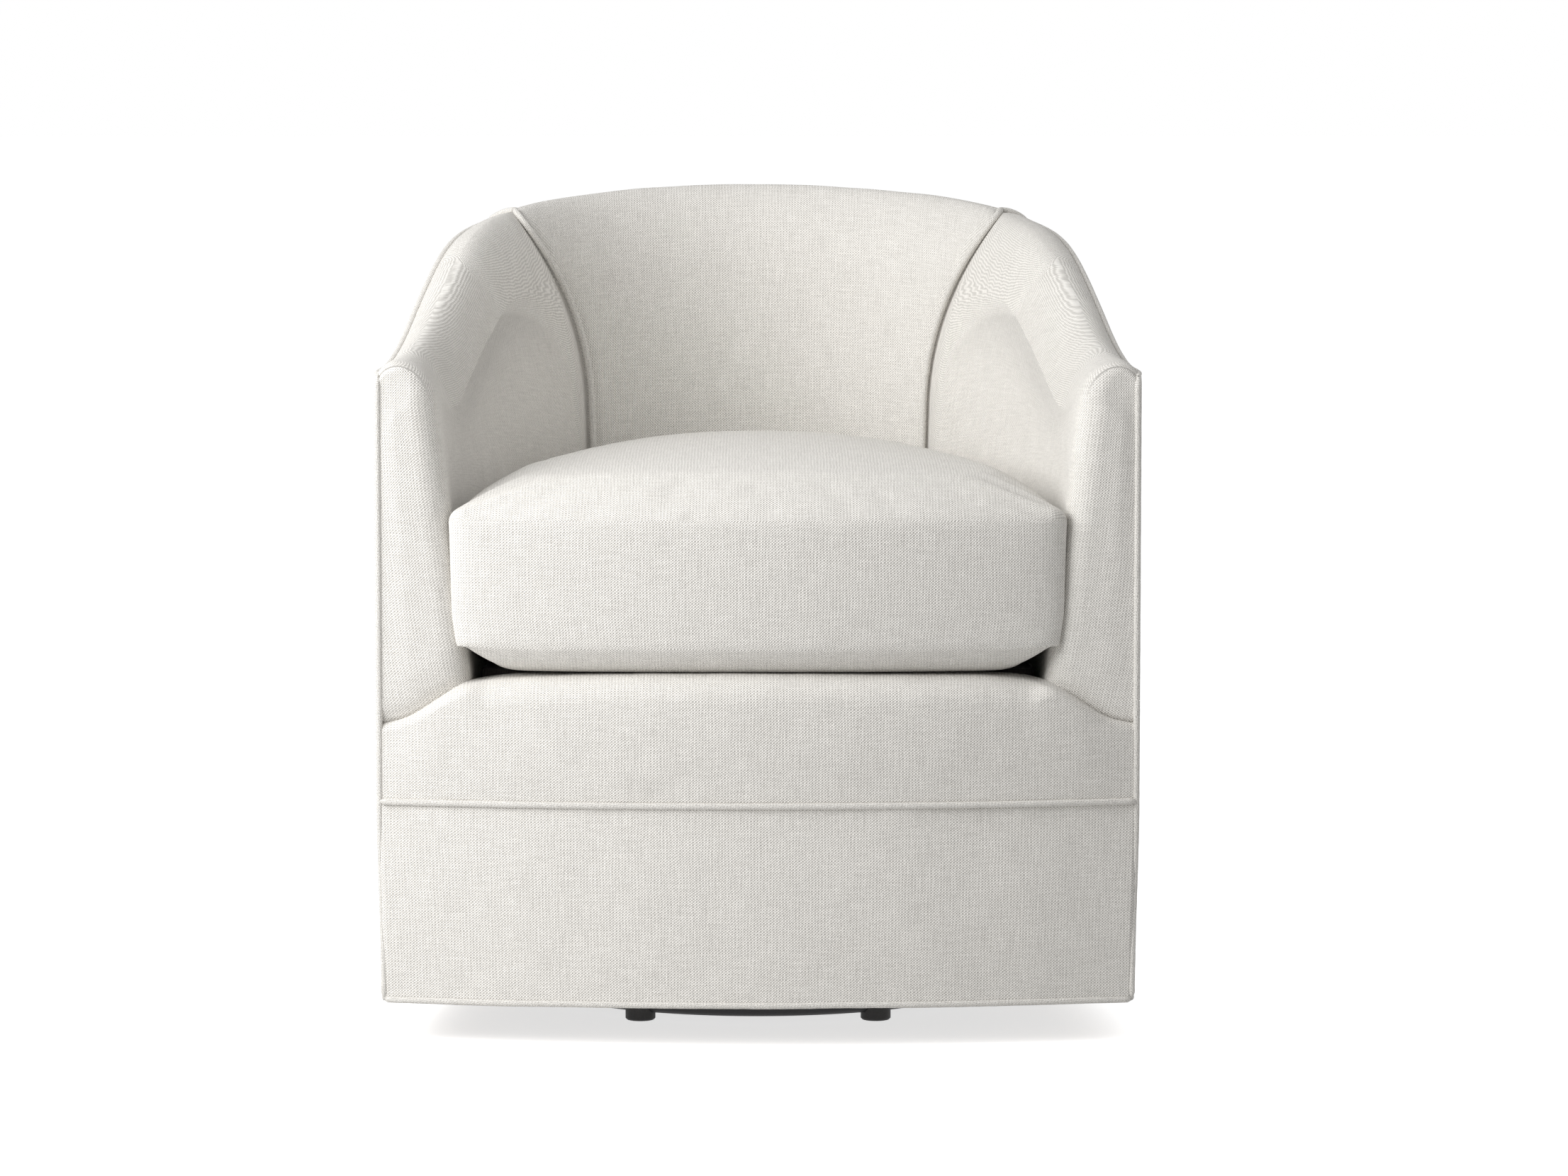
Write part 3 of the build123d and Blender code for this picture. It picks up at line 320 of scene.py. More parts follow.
def apply_modifiers(piece):
    """Make what the modifiers give the piece's own mesh."""
    depsgraph = bpy.context.evaluated_depsgraph_get()
    made = bpy.data.meshes.new_from_object(piece.evaluated_get(depsgraph))
    piece.modifiers.clear()
    old = piece.data
    piece.data = made
    bpy.data.meshes.remove(old)
    made.name = piece.name


def thicken(piece, thickness):
    """Give a sheet a back, so that it is a closed body."""
    solid = piece.modifiers.new("thickness", "SOLIDIFY")
    solid.thickness = thickness
    solid.offset = -1.0
    apply_modifiers(piece)


def subdivide(piece, levels=1):
    rounder = piece.modifiers.new("subdivision", "SUBSURF")
    rounder.levels = levels
    rounder.render_levels = levels
    apply_modifiers(piece)


NOISE_SHIFT = (7.31, 3.77, 5.13)


def soft_noise(points, size, seed):
    """Smooth noise from -1 to 1 at points, with features of about a size in metres."""
    shift = Vector(NOISE_SHIFT) * seed
    values = [noise.noise(Vector(place) / size + shift) for place in points.reshape(-1, 3)]
    return np.array(values).reshape(points.shape[:-1])


def puffs(points, layers, seeds):
    """Unevenness of stuffed cloth: layers of noise, each a height and a feature size in metres."""
    return sum(height * soft_noise(points, size, seed) for (height, size), seed in zip(layers, seeds))


def finish_piece(piece, material, nodes, body_name="chair"):
    piece.data.materials.clear()
    piece.data.materials.append(material)
    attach(piece, body_name)
    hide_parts(*nodes)
    return piece


# Share by which the cloth widens the body, growing between two heights above the hem
FULLER = 0.0095
FULLER_HEIGHTS = (0.05, 0.24)


def linen_piece(piece, nodes):
    """Dress a piece in the linen, a little fuller above the hem, on the chair in place of the given parts.
    """
    places = vertex_places(piece)
    places[:, 0] *= 1 + FULLER * smooth(places[:, 2], *FULLER_HEIGHTS)
    place_vertices(piece, places)
    finish_piece(piece, linen, nodes)
    return piece


# Materials
THREAD_UNEVEN = 2.4
THREAD_UNEVEN_SCALE = 0.6
BUMP_STRENGTH = 0.7
MOTTLE_RELIEF = 0.0002

# Weaves: thread and slub sizes in thread pitches, slub lengths and clouds in metres, and each one's weight
WARP_PITCHES = 2.0
WEFT_PITCHES = 1.7
WARP_SLUB = (1.15, 0.030)
WEFT_SLUB = (0.028, 1.25)
KNOT_PITCHES = (1.6, 2.2)
CLOUD_SIZE = (0.030, 0.040)
TONE_WEIGHTS = {"threads": 1.2, "warp": 0.30, "upright": 0.45, "level": 0.40, "knots": 0.25, "cloud": 0.08}
RELIEF_WEIGHTS = {"threads": 1.0, "warp": 0.3, "upright": 0.4, "level": 0.4, "knots": 0.3}


class Shading:
    """The nodes of a material or a world, with short ways to add and join them."""

    def __init__(self, owner):
        owner.use_nodes = True
        self.nodes = owner.node_tree.nodes
        self.links = owner.node_tree.links

    def feed(self, node, inputs):
        """Set a node's inputs to values, or join them to another node's outputs."""
        for name, value in inputs.items():
            if isinstance(value, bpy.types.NodeSocket):
                self.links.new(value, node.inputs[name])
            else:
                node.inputs[name].default_value = value
        return node

    def add(self, kind, inputs):
        return self.feed(self.nodes.new(f"ShaderNode{kind}"), inputs)

    def maths(self, operation, first, second):
        node = self.add("Math", {0: first, 1: second})
        node.operation = operation
        return node.outputs[0]

    def weighted_sum(self, factors, weights):
        """A half plus each factor's distance from a half, times its weight."""
        total = 0.5 - sum(weights.values()) / 2
        for name, weight in weights.items():
            total = self.maths("ADD", self.maths("MULTIPLY", factors[name], weight), total)
        return total

    def noise(self, place, scale, detail):
        mapping = self.add("Mapping", {"Vector": place, "Scale": scale})
        return self.add("TexNoise", {"Vector": mapping.outputs[0], "Scale": 1.0, "Detail": detail})

    def stretched_noise(self, place, across, up, detail=2.0):
        """Noise with features of a size across and a size up the cloth, in metres."""
        texture = self.noise(place, (1 / across, 1 / up, 1.0), detail)
        texture.noise_dimensions = "2D"
        return texture.outputs["Fac"]

    def thread_wave(self, place, direction, pitch):
        """Uneven round threads side by side at a pitch in metres; the node has 20 radians a unit."""
        wave = self.add("TexWave", {"Vector": place, "Scale": 2 * pi / (20 * pitch), "Detail": 1.0})
        self.feed(wave, {"Distortion": THREAD_UNEVEN, "Detail Scale": THREAD_UNEVEN_SCALE})
        wave.bands_direction = direction
        return wave.outputs["Fac"]

    def crossing_threads(self, warp, weft):
        """1 where warp and weft are both up or both down, 0 where they differ."""
        over = self.maths("SUBTRACT", warp, 0.5)
        product = self.maths("MULTIPLY", over, self.maths("SUBTRACT", weft, 0.5))
        return self.maths("ADD", self.maths("MULTIPLY", product, 2.0), 0.5)

    def colour_ramp(self, factor, stops):
        ramp = self.add("ValToRGB", {"Fac": factor})
        for element, (place, colour) in zip(ramp.color_ramp.elements, stops):
            element.position = place
            element.color = (*colour, 1.0)
        return ramp.outputs["Color"]

    def bump(self, height, distance):
        relief = self.add("Bump", {"Strength": BUMP_STRENGTH, "Distance": distance, "Height": height})
        return relief.outputs["Normal"]

    def seen_mix(self, lighting, seen, output):
        """One shader lights the chair; the camera sees another, also in a reflection or through glass."""
        rays = self.nodes.new("ShaderNodeLightPath").outputs
        mirrored = self.maths("MAXIMUM", rays["Is Glossy Ray"], rays["Is Transmission Ray"])
        direct = self.maths("MAXIMUM", rays["Is Camera Ray"], mirrored)
        mix = self.add("MixShader", {0: direct, 1: lighting.outputs[0], 2: seen.outputs[0]})
        self.feed(self.nodes[output], {"Surface": mix.outputs[0]})


def woven_material(name, pale, dark, pitch, relief):
    """Plain weave with thick and thin yarns: slubs along warp and weft, and threads in the relief."""
    material = bpy.data.materials.new(name)
    shading = Shading(material)
    weave = shading.nodes.new("ShaderNodeUVMap")
    weave.uv_map = "weave"
    place = weave.outputs["UV"]
    warp = shading.thread_wave(place, "X", WARP_PITCHES * pitch)
    weft = shading.thread_wave(place, "Y", WEFT_PITCHES * pitch)
    factors = {
        "threads": shading.crossing_threads(warp, weft),
        "warp": warp,
        "upright": shading.stretched_noise(place, pitch * WARP_SLUB[0], WARP_SLUB[1]),
        "level": shading.stretched_noise(place, WEFT_SLUB[0], pitch * WEFT_SLUB[1]),
        "knots": shading.stretched_noise(place, pitch * KNOT_PITCHES[0], pitch * KNOT_PITCHES[1], 1.0),
        "cloud": shading.stretched_noise(place, *CLOUD_SIZE, 3.0),
    }
    tone = shading.weighted_sum(factors, TONE_WEIGHTS)
    looks = {
        "Base Color": shading.colour_ramp(tone, [(0.05, dark), (0.95, pale)]),
        "Normal": shading.bump(shading.weighted_sum(factors, RELIEF_WEIGHTS), relief),
        "Roughness": 0.92,
        "Specular IOR Level": 0.2,
        "Sheen Weight": 0.12,
        "Sheen Roughness": 0.6,
    }
    shading.feed(shading.nodes["Principled BSDF"], looks)
    return material


def solid_material(name, pale, dark, size, roughness, metallic=0.0, stretch=(1.0, 1.0, 1.0)):
    """A finish for the hard pieces, with mottling of a size in metres that follows the piece."""
    material = bpy.data.materials.new(name)
    shading = Shading(material)
    place = shading.nodes.new("ShaderNodeTexCoord").outputs["Object"]
    mottle = shading.noise(place, [part / size for part in stretch], 5.0).outputs["Fac"]
    looks = {
        "Base Color": shading.colour_ramp(mottle, [(0.3, dark), (0.7, pale)]),
        "Normal": shading.bump(mottle, MOTTLE_RELIEF),
        "Roughness": roughness,
        "Metallic": metallic,
    }
    shading.feed(shading.nodes["Principled BSDF"], looks)
    return material


linen = woven_material(
    "ivory_linen", pale=(0.97, 0.945, 0.90), dark=(0.55, 0.530, 0.495), pitch=0.00155, relief=0.0008
)
deck_cloth = woven_material(
    "deck_cloth", pale=(0.032, 0.028, 0.025), dark=(0.012, 0.010, 0.009), pitch=0.0010, relief=0.0003
)
tape = woven_material(
    "webbing_tape", pale=(0.52, 0.42, 0.28), dark=(0.34, 0.27, 0.17), pitch=0.0022, relief=0.0005
)
HARD_FINISHES = {
    "hardwood": solid_material(
        "hardwood", (0.60, 0.44, 0.28), (0.44, 0.30, 0.18), size=0.012, roughness=0.6, stretch=(0.15, 1, 1)
    ),
    "black_steel": solid_material(
        "black_steel", (0.046, 0.046, 0.048), (0.034, 0.034, 0.036), size=0.0012, roughness=0.45
    ),
    "zinc_steel": solid_material(
        "zinc_steel", (0.66, 0.66, 0.67), (0.50, 0.50, 0.52), size=0.004, roughness=0.35, metallic=1.0
    ),
    "nylon": solid_material("nylon", (0.11, 0.11, 0.11), (0.09, 0.09, 0.09), size=0.002, roughness=0.55),
}
for row in frame["record"]["subparts"]:
    if row["material_slot"] in HARD_FINISHES:
        mesh = frame["nodes"][row["node"]].data
        mesh.materials.clear()
        mesh.materials.append(HARD_FINISHES[row["material_slot"]])

# Rows of the padded wall: ways over the crest, the roll and the face
CREST_ROWS = 9
ROLL_ROWS = 21
FACE_ROWS = 56
WAYS = np.concatenate(
    [
        np.linspace(0, CREST_WAY, CREST_ROWS)[:-1],
        np.linspace(CREST_WAY, ROLL_WAY, ROLL_ROWS)[:-1],
        np.linspace(ROLL_WAY, 1, FACE_ROWS),
    ]
)
ROLL_ROW = int(np.argmax(WAYS >= ROLL_WAY))
face_share = np.clip((WAYS - ROLL_WAY) / (1 - ROLL_WAY), 0, 1)
seam_angles = np.array([seam_angle(way) for way in WAYS])
front_section = Section(0.0)

# Cloth of the padded pieces, and how it dips to a seam: depth, spread and what is left of it on the top
PADDED_CLOTH = 0.0025
SEAM_DIP = 0.0045
SEAM_SPREAD = 0.012
SEAM_DIP_ON_TOP = 0.35
SEAM_DIP_WAYS = (0.1, 0.4)
PUFF_FREE = 0.03

# Inside arms with their fronts: one cloth from the side welt, round the front edge and back to the seam
FRONT_COLUMNS = 23
ROUND_COLUMNS = 15
WALL_COLUMNS = 112
EDGE_ROUNDING = 0.028
TOP_ROUNDING_SHARE = 0.28
ROUNDING_POWER = 0.75
FRONT_ROLL_SHARE = 0.14
FRONT_EDGE_IN = -0.0005
ARM_PUFFS = ((0.0016, 0.11), (0.0006, 0.035))
FRONT_FULL = 0.0035
FRONT_FULL_COLUMNS = 14
FRONT_FULL_WAYS = (0.05, 0.45)
FOOT_FREE_WAY = 0.90
FOOT_TUCK = 0.004
FOOT_TUCK_WAY = 0.965
DART_DEPTH = 0.0018
DART_COLUMN = 5.5
DART_COLUMNS = 2.2
DART_WAYS = (0.085, 0.16)

# Line of the lip's crest and on under the arm front: half widths from the middle outward, and heights
FOOT_HALVES = (
    0.0, 0.10, 0.17, 0.223, 0.250, 0.268, 0.284, 0.296, 0.307, 0.316, 0.324, 0.332, 0.341, 0.350, 0.366
)
FOOT_HEIGHTS = (
    0.3625, 0.3622, 0.3613, 0.3592, 0.3570, 0.3543, 0.3500, 0.3440, 0.3366, 0.3308, 0.3255, 0.3208, 0.3170,
    0.3148, 0.3138,
)
FOOT_EASE = np.linspace(-0.014, 0.014, 9)


def arm_foot(x):
    """Height of the seam between an arm's front and the rail, eased round its corners."""
    return np.mean([np.interp(x + step, FOOT_HALVES, FOOT_HEIGHTS) for step in FOOT_EASE], axis=0)


def front_outlines():
    """On the arm front: its outer edge, inner outline, the way into the padding and the edge's rounding."""
    outline = np.array([front_section.profile(way) for way in WAYS])
    slope = np.gradient(outline, axis=0)
    into = np.stack([slope[:, 1], -slope[:, 0]], axis=1)
    into /= np.linalg.norm(into, axis=1, keepdims=True)
    into[WAYS < CREST_WAY] = (0.0, -1.0)
    rounding = EDGE_ROUNDING * np.clip(WAYS / ROLL_WAY, TOP_ROUNDING_SHARE, 1.0) ** ROUNDING_POWER
    top = outline[0, 1] - rounding[0]
    foot = arm_foot(HALF_WIDTH - HEM_WELT_IN)
    over_roll = FRONT_ROLL_SHARE * WAYS / ROLL_WAY
    over_face = FRONT_ROLL_SHARE + (1 - FRONT_ROLL_SHARE) * face_share
    down = np.where(WAYS < ROLL_WAY, over_roll, over_face)
    edge = np.stack([np.full(len(WAYS), FRONT_EDGE_IN), top + (foot - top) * down], axis=1)
    return edge, outline, into, rounding


def settle_foot(flat, weight):
    """Bring the rows of the arm front down or up to the slanting seam under it."""
    foot = arm_foot(HALF_WIDTH - flat[:, 0])
    start = flat[ROLL_ROW, 1]
    settled = np.where(face_share > 0, start + (foot - start) * face_share, flat[:, 1])
    flat = flat.copy()
    flat[:, 1] = flat[:, 1] * (1 - weight) + settled * weight
    return flat


def front_column(flat, y):
    """A column of the arm's grid, from distances inside and heights, at places front to back."""
    return np.stack([HALF_WIDTH - flat[:, 0], np.broadcast_to(y, len(WAYS)), flat[:, 1]], axis=1)


def arm_points():
    """Grid of the right arm: rows from the welt over the top and down, columns from side welt to seam."""
    edge, outline, into, rounding = front_outlines()
    inner = settle_foot(outline + into * rounding[:, None], 1.0)
    columns = []
    for step in np.linspace(0, 1, FRONT_COLUMNS + 1)[:-1]:
        columns.append(front_column(settle_foot(edge + (inner - edge) * step, 1.0), FRONT_Y))
    for turn in np.linspace(0, pi / 2, ROUND_COLUMNS):
        flat = settle_foot(outline + into * (rounding * (1 - sin(turn)))[:, None], cos(turn) ** 2)
        columns.append(front_column(flat, FRONT_Y + rounding * (1 - cos(turn))))
    starts = np.array([body.side_angle(depth) for depth in rounding])
    for step in np.linspace(0, 1, WALL_COLUMNS)[1:]:
        angles = starts + (seam_angles - starts) * step
        columns.append(np.array([wall_point(angle, way) for angle, way in zip(angles, WAYS)]))
    return np.stack(columns, axis=1)


def seam_dip(to_seam):
    """How far the padded cloth is drawn in at distances from a seam, less on the top than on the face."""
    on_face = SEAM_DIP_ON_TOP + (1 - SEAM_DIP_ON_TOP) * smooth(WAYS, *SEAM_DIP_WAYS)[:, None]
    return -SEAM_DIP * np.exp(-((to_seam / SEAM_SPREAD) ** 2)) * on_face


def arm_relief(points, seed):
    """How far the cloth stands off the plain form: puffs, the seam's dip, the tucked foot and the dart."""
    across = run_lengths(points, 1)
    to_seam = across[:, -1:] - across
    free = smooth(across, 0.0, PUFF_FREE) * smooth(to_seam, 0.0, PUFF_FREE)
    puff = puffs(points, ARM_PUFFS, (seed, seed + 2)) * free * smooth(WAYS, 0.0, CREST_WAY)[:, None]
    column = np.arange(points.shape[1])
    on_front = 1 - smooth(column, FRONT_COLUMNS + 4, FRONT_COLUMNS + ROUND_COLUMNS)
    full_ways = smooth(WAYS, *FRONT_FULL_WAYS) * (1 - smooth(WAYS, FOOT_FREE_WAY, 1.0))
    full = FRONT_FULL * (smooth(column, 0, FRONT_FULL_COLUMNS) * on_front)[None, :] * full_ways[:, None]
    tuck = -FOOT_TUCK * smooth(WAYS, FOOT_TUCK_WAY, 1.0)[:, None] * on_front[None, :]
    near_fold = np.exp(-(((column - FRONT_COLUMNS - DART_COLUMN) / DART_COLUMNS) ** 2))
    dart = -DART_DEPTH * near_fold[None, :] * (1 - smooth(WAYS, *DART_WAYS))[:, None]
    return puff + seam_dip(to_seam) + full + tuck + dart


def arm_weave(points):
    """Lengths across and up the cloth; the front's weave stays upright and meets the top's at the dart."""
    corner = FRONT_COLUMNS + ROUND_COLUMNS - 1
    fold = FRONT_COLUMNS + ROUND_COLUMNS // 2
    climb = run_lengths(points, 0)
    up = climb[-1:, :] - climb + points[-1:, :, 2]
    across = run_lengths(points, 1)
    across = across - across[:, corner : corner + 1]
    level = points[ROLL_ROW, corner::-1, 0]
    across[:ROLL_ROW, :fold] = np.interp(points[:ROLL_ROW, :fold, 0], level, across[ROLL_ROW, corner::-1])
    up[:ROLL_ROW, :fold] = points[:ROLL_ROW, :fold, 2] + up[ROLL_ROW, :fold] - points[ROLL_ROW, :fold, 2]
    return across, up


def inside_arm(hand, side):
    points = arm_points()
    across, up = arm_weave(points)
    points = points + grid_normals(points) * arm_relief(points, 4 + hand)[..., None]
    points[..., 0] *= hand
    piece = fabric_mesh(f"inside_arm_cloth_{side}", points, across * hand, up, flip=hand < 0)
    thicken(piece, PADDED_CLOTH)
    return linen_piece(piece, [f"inside_arm_{side}", f"arm_front_{side}"])


inside_arm(1, "right")
inside_arm(-1, "left")

# Inside back panel between the two seams
BACK_COLUMNS = 141
BACK_PUFFS = ((0.0015, 0.12), (0.0005, 0.04))
BACK_SWELL = 0.006
BACK_SWELL_REACH = 0.11
BACK_SWELL_WAYS = (0.15, 0.55)


def inside_back():
    columns = []
    for step in np.linspace(0, 1, BACK_COLUMNS):
        angles = seam_angles + (180 - 2 * seam_angles) * step
        columns.append(np.array([wall_point(angle, way) for angle, way in zip(angles, WAYS)]))
    points = np.stack(columns, axis=1)
    across = run_lengths(points, 1)
    to_edge = np.minimum(across, across[:, -1:] - across)
    middle = BACK_COLUMNS // 2
    level = across - across[:, middle : middle + 1]
    climb = run_lengths(points, 0)
    up = climb[-1:, :] - climb
    fullness = BACK_SWELL * smooth(to_edge, 0.0, BACK_SWELL_REACH) * smooth(WAYS, *BACK_SWELL_WAYS)[:, None]
    puff = puffs(points, BACK_PUFFS, (11, 12)) * smooth(to_edge, 0.0, PUFF_FREE)
    relief = seam_dip(to_edge) + fullness + puff * smooth(WAYS, 0.0, CREST_WAY)[:, None]
    points = points + grid_normals(points) * relief[..., None]
    piece = fabric_mesh("inside_back_cloth", points, -level, up)
    thicken(piece, PADDED_CLOTH)
    return linen_piece(piece, ["inside_back"])


inside_back()

# Front rail panel with its lip: upright face, rounded lip and the part tucked under the cushion or the arm
RAIL_COLUMNS = 185
RAIL_FACE_ROWS = 24
LIP_ROWS = 14
TUCK_ROWS = 10
RAIL_PUFFS = ((0.0014, 0.09), (0.0005, 0.03))
RAIL_OVER_BAND = 0.0005
RAIL_BULGE = 0.0040
RAIL_BULGE_END = 0.06
BULGE_START = 0.03
BULGE_RUN = 0.70
LIP_RADIUS = 0.028
LIP_RADIUS_UNDER_ARM = 0.009
TUCK_REACH = 0.040
TUCK_REACH_UNDER_ARM = 0.016
TUCK_LIFT_UNDER_ARM = 0.004
UNDER_ARM_FROM = -0.016
UNDER_ARM_TO = 0.012
front_half = HALF_WIDTH - HEM_WELT_IN
arm_foot_inner = HALF_WIDTH - ARM_DECK_THICKNESS


def rail_column(x):
    """Points up the front rail and back over its lip at a place across the front."""
    under = float(smooth(abs(x), arm_foot_inner + UNDER_ARM_FROM, arm_foot_inner + UNDER_ARM_TO))
    radius = LIP_RADIUS * (1 - under) + LIP_RADIUS_UNDER_ARM * under
    reach = TUCK_REACH * (1 - under) + TUCK_REACH_UNDER_ARM * under
    bulge = RAIL_BULGE * float(1 - smooth(abs(x), front_half - RAIL_BULGE_END, front_half))
    lean = bulge * sin(pi * (BULGE_START + BULGE_RUN))
    foot = BAND_HEIGHT + RAIL_OVER_BAND
    high = float(arm_foot(abs(x)))
    front = bow_y(x)
    column = []
    for share in np.linspace(0, 1, RAIL_FACE_ROWS)[:-1]:
        out = bulge * sin(pi * (BULGE_START + BULGE_RUN * share))
        column.append((x, front - out, foot + (high - radius - foot) * share))
    for turn in np.linspace(0, pi / 2, LIP_ROWS):
        back = radius * (1 - cos(turn)) - lean * cos(turn)
        column.append((x, front + back, high - radius * (1 - sin(turn))))
    for share in np.linspace(0, 1, TUCK_ROWS)[1:]:
        column.append((x, front + radius + reach * share, high + TUCK_LIFT_UNDER_ARM * under * share))
    return column


def front_rail_panel():
    spots = np.linspace(-front_half, front_half, RAIL_COLUMNS)
    points = np.array([rail_column(x) for x in spots]).transpose(1, 0, 2)
    climb = run_lengths(points, 0)
    free = smooth(front_half - np.abs(points[..., 0]), 0.0, PUFF_FREE) * smooth(climb, 0.0, PUFF_FREE)
    puff = puffs(points, RAIL_PUFFS, (21, 22)) * free
    across = np.tile(spots[None, :], (points.shape[0], 1))
    points = points + grid_normals(points) * puff[..., None]
    piece = fabric_mesh("front_rail_cloth", points, across, climb)
    thicken(piece, PADDED_CLOTH)
    return linen_piece(piece, ["front_rail_panel"])


front_rail_panel()

# Apron under the band welt
APRON_COLUMNS = 181
APRON_ROWS = 46
APRON_BULGE = 0.0020
APRON_CLOTH = 0.002
APRON_PUFFS = ((0.0011, 0.08), (0.0004, 0.03))
APRON_PUFF_TALL = np.array((1, 1, 0.5))
HEM_WAVE = 0.0009
HEM_WAVE_LENGTH = 0.09
HEM_WAVE_SHIFT = (3.7, 0.4)


def hem_wave(x):
    """Slight waver of the sewn hem along the front."""
    return HEM_WAVE * noise.noise(Vector((x / HEM_WAVE_LENGTH, *HEM_WAVE_SHIFT)))


def front_apron():
    spots = np.linspace(-front_half, front_half, APRON_COLUMNS)
    rows = []
    for rise in np.linspace(0, 1, APRON_ROWS):
        row = []
        for x in spots:
            low = HEM_HEIGHT + hem_wave(x)
            row.append((x, bow_y(x) - APRON_BULGE * sin(pi * rise), low + (BAND_HEIGHT - low) * rise))
        rows.append(row)
    points = np.array(rows)
    across = np.tile(spots[None, :], (APRON_ROWS, 1))
    up = points[..., 2].copy()
    broad, fine = APRON_PUFFS
    puff = puffs(points * APRON_PUFF_TALL, [broad], [31]) + puffs(points, [fine], [32])
    points = points + grid_normals(points) * puff[..., None]
    piece = fabric_mesh("front_apron_cloth", points, across, up)
    thicken(piece, APRON_CLOTH)
    return linen_piece(piece, ["front_apron"])


front_apron()

# Outside panels from hem to top welt
PANEL_COLUMNS = 91
PANEL_ROWS = 71
PANEL_IN = 0.0005
PANEL_CLOTH = 0.0018
PANEL_PUFFS = ((0.0010, 0.16), (0.0003, 0.04))


def outside_panel(node, start, end, seed):
    angles = np.linspace(start, end, PANEL_COLUMNS)
    rows = []
    for share in np.linspace(0, 1, PANEL_ROWS):
        row = []
        for angle in angles:
            head = Section(angle).crown - WELT_DROP
            row.append((*body.point(angle, PANEL_IN), HEM_HEIGHT + (head - HEM_HEIGHT) * share))
        rows.append(row)
    points = np.array(rows)
    across = run_lengths(points, 1)
    up = points[..., 2].copy()
    puff = puffs(points, PANEL_PUFFS, (seed, seed + 1))
    points = points + grid_normals(points) * puff[..., None]
    piece = fabric_mesh(f"{node}_cloth", points, across, up)
    thicken(piece, PANEL_CLOTH)
    return linen_piece(piece, [node])


front_angle = body.side_angle(HEM_WELT_IN)
outside_panel("outside_arm_right", front_angle, back_seam, 41)
outside_panel("outside_arm_left", 180 - back_seam, 180 - front_angle, 43)
outside_panel("outside_back", back_seam, 180 - back_seam, 45)

# Welts: a cord in its own strip of cloth cut on the bias
CORD_SIDES = 14
CORD_FIRST_SIDE = (0.31, 0.52, 0.79)
CORD_UNEVEN = 0.05
CORD_UNEVEN_SIZE = 0.009
CORD_END_SHARE = 0.3
CORNER_RADIUS = 0.010
CORNER_STEPS = 12
EDGE_RISE_POINTS = 90
EDGE_TOP_POINTS = 420
EDGE_TOP_DEPTH = 0.030
FRONT_POINTS = 180
SIDE_POINTS = 420
BACK_CORNER_POINTS = 110
SEAM_POINTS = 220
SEAM_WAYS = (0.01, 0.995)
SEAM_SLOPE_WAY = 0.004
SEAM_PROUD = 0.0012
SEAM_PROUD_WAY = 0.3


def welt(name, path, nodes):
    """A round cord along a path, drawn in at its ends, with the weave slanting along it."""
    path = np.array(path)
    ahead = np.gradient(path, axis=0)
    ahead /= np.linalg.norm(ahead, axis=1, keepdims=True)
    side = np.cross(ahead[0], CORD_FIRST_SIDE)
    turns = np.linspace(0, 2 * pi, CORD_SIDES + 1)
    rings = []
    for spot, forward in zip(path, ahead):
        side = side - forward * np.dot(side, forward)
        side /= np.linalg.norm(side)
        up = np.cross(forward, side)
        radius = WELT_RADIUS * (1 + CORD_UNEVEN * noise.noise(Vector(spot) / CORD_UNEVEN_SIZE))
        rings.append([spot + radius * (cos(turn) * side + sin(turn) * up) for turn in turns])
    points = np.array(rings)
    for end in (0, -1):
        points[end] = points[end] * CORD_END_SHARE + path[end] * (1 - CORD_END_SHARE)
    along = np.tile(run_lengths(points, 0)[:, :1], (1, CORD_SIDES + 1))
    around = np.tile(turns[None, :] * WELT_RADIUS, (len(path), 1))
    piece = fabric_mesh(name, points, along + around, along - around, flip=True)
    return linen_piece(piece, nodes)


def corner_turn(hand):
    """Rounded corner from the upright front edge to the level top edge of an arm."""
    x = hand * (HALF_WIDTH - HEM_WELT_IN)
    high = ARM_HEIGHT - WELT_DROP
    deep = FRONT_Y + HEM_WELT_IN
    arc = []
    for turn in np.linspace(0, pi / 2, CORNER_STEPS):
        arc.append((x, deep + CORNER_RADIUS * (1 - cos(turn)), high - CORNER_RADIUS * (1 - sin(turn))))
    return arc


def edge_welt_path():
    """From the left hem up the front edge, along the top edge round the back, and down to the right hem."""
    left = corner_turn(-1)
    right = corner_turn(1)
    x, y, high = left[0]
    rise = [(x, y, z) for z in np.linspace(HEM_HEIGHT, high, EDGE_RISE_POINTS)[:-1]]
    fall = [(-x, y, z) for x, y, z in reversed(rise)]
    start = body.side_angle(EDGE_TOP_DEPTH)
    top = []
    for angle in np.linspace(180 - start, start, EDGE_TOP_POINTS):
        top.append((*body.point(angle, EDGE_WELT_IN), Section(angle).crown - WELT_DROP))
    return rise + left + top + right[::-1] + fall


def front_path(distance, height, wave=0.0):
    spots = np.linspace(-front_half, front_half, FRONT_POINTS)
    return [(x, bow_y(x, distance), height + wave * hem_wave(x)) for x in spots]


def seam_path(hand):
    """Up the seam of the inside back, a little proud of the cloth, and over the crest to the top welt."""
    path = []
    for way in np.linspace(*SEAM_WAYS, SEAM_POINTS):
        angle = seam_angle(way)
        section = Section(angle)
        near = np.array(section.profile(max(way - SEAM_SLOPE_WAY, 0)))
        far = np.array(section.profile(way + SEAM_SLOPE_WAY))
        slope = (far - near) / np.linalg.norm(far - near)
        proud = -SEAM_PROUD * float(smooth(way, 0.0, SEAM_PROUD_WAY))
        distance, height = (near + far) / 2 + proud * np.array((slope[1], -slope[0]))
        x, y = body.point(angle, distance)
        path.append((hand * x, y, height))
    return path


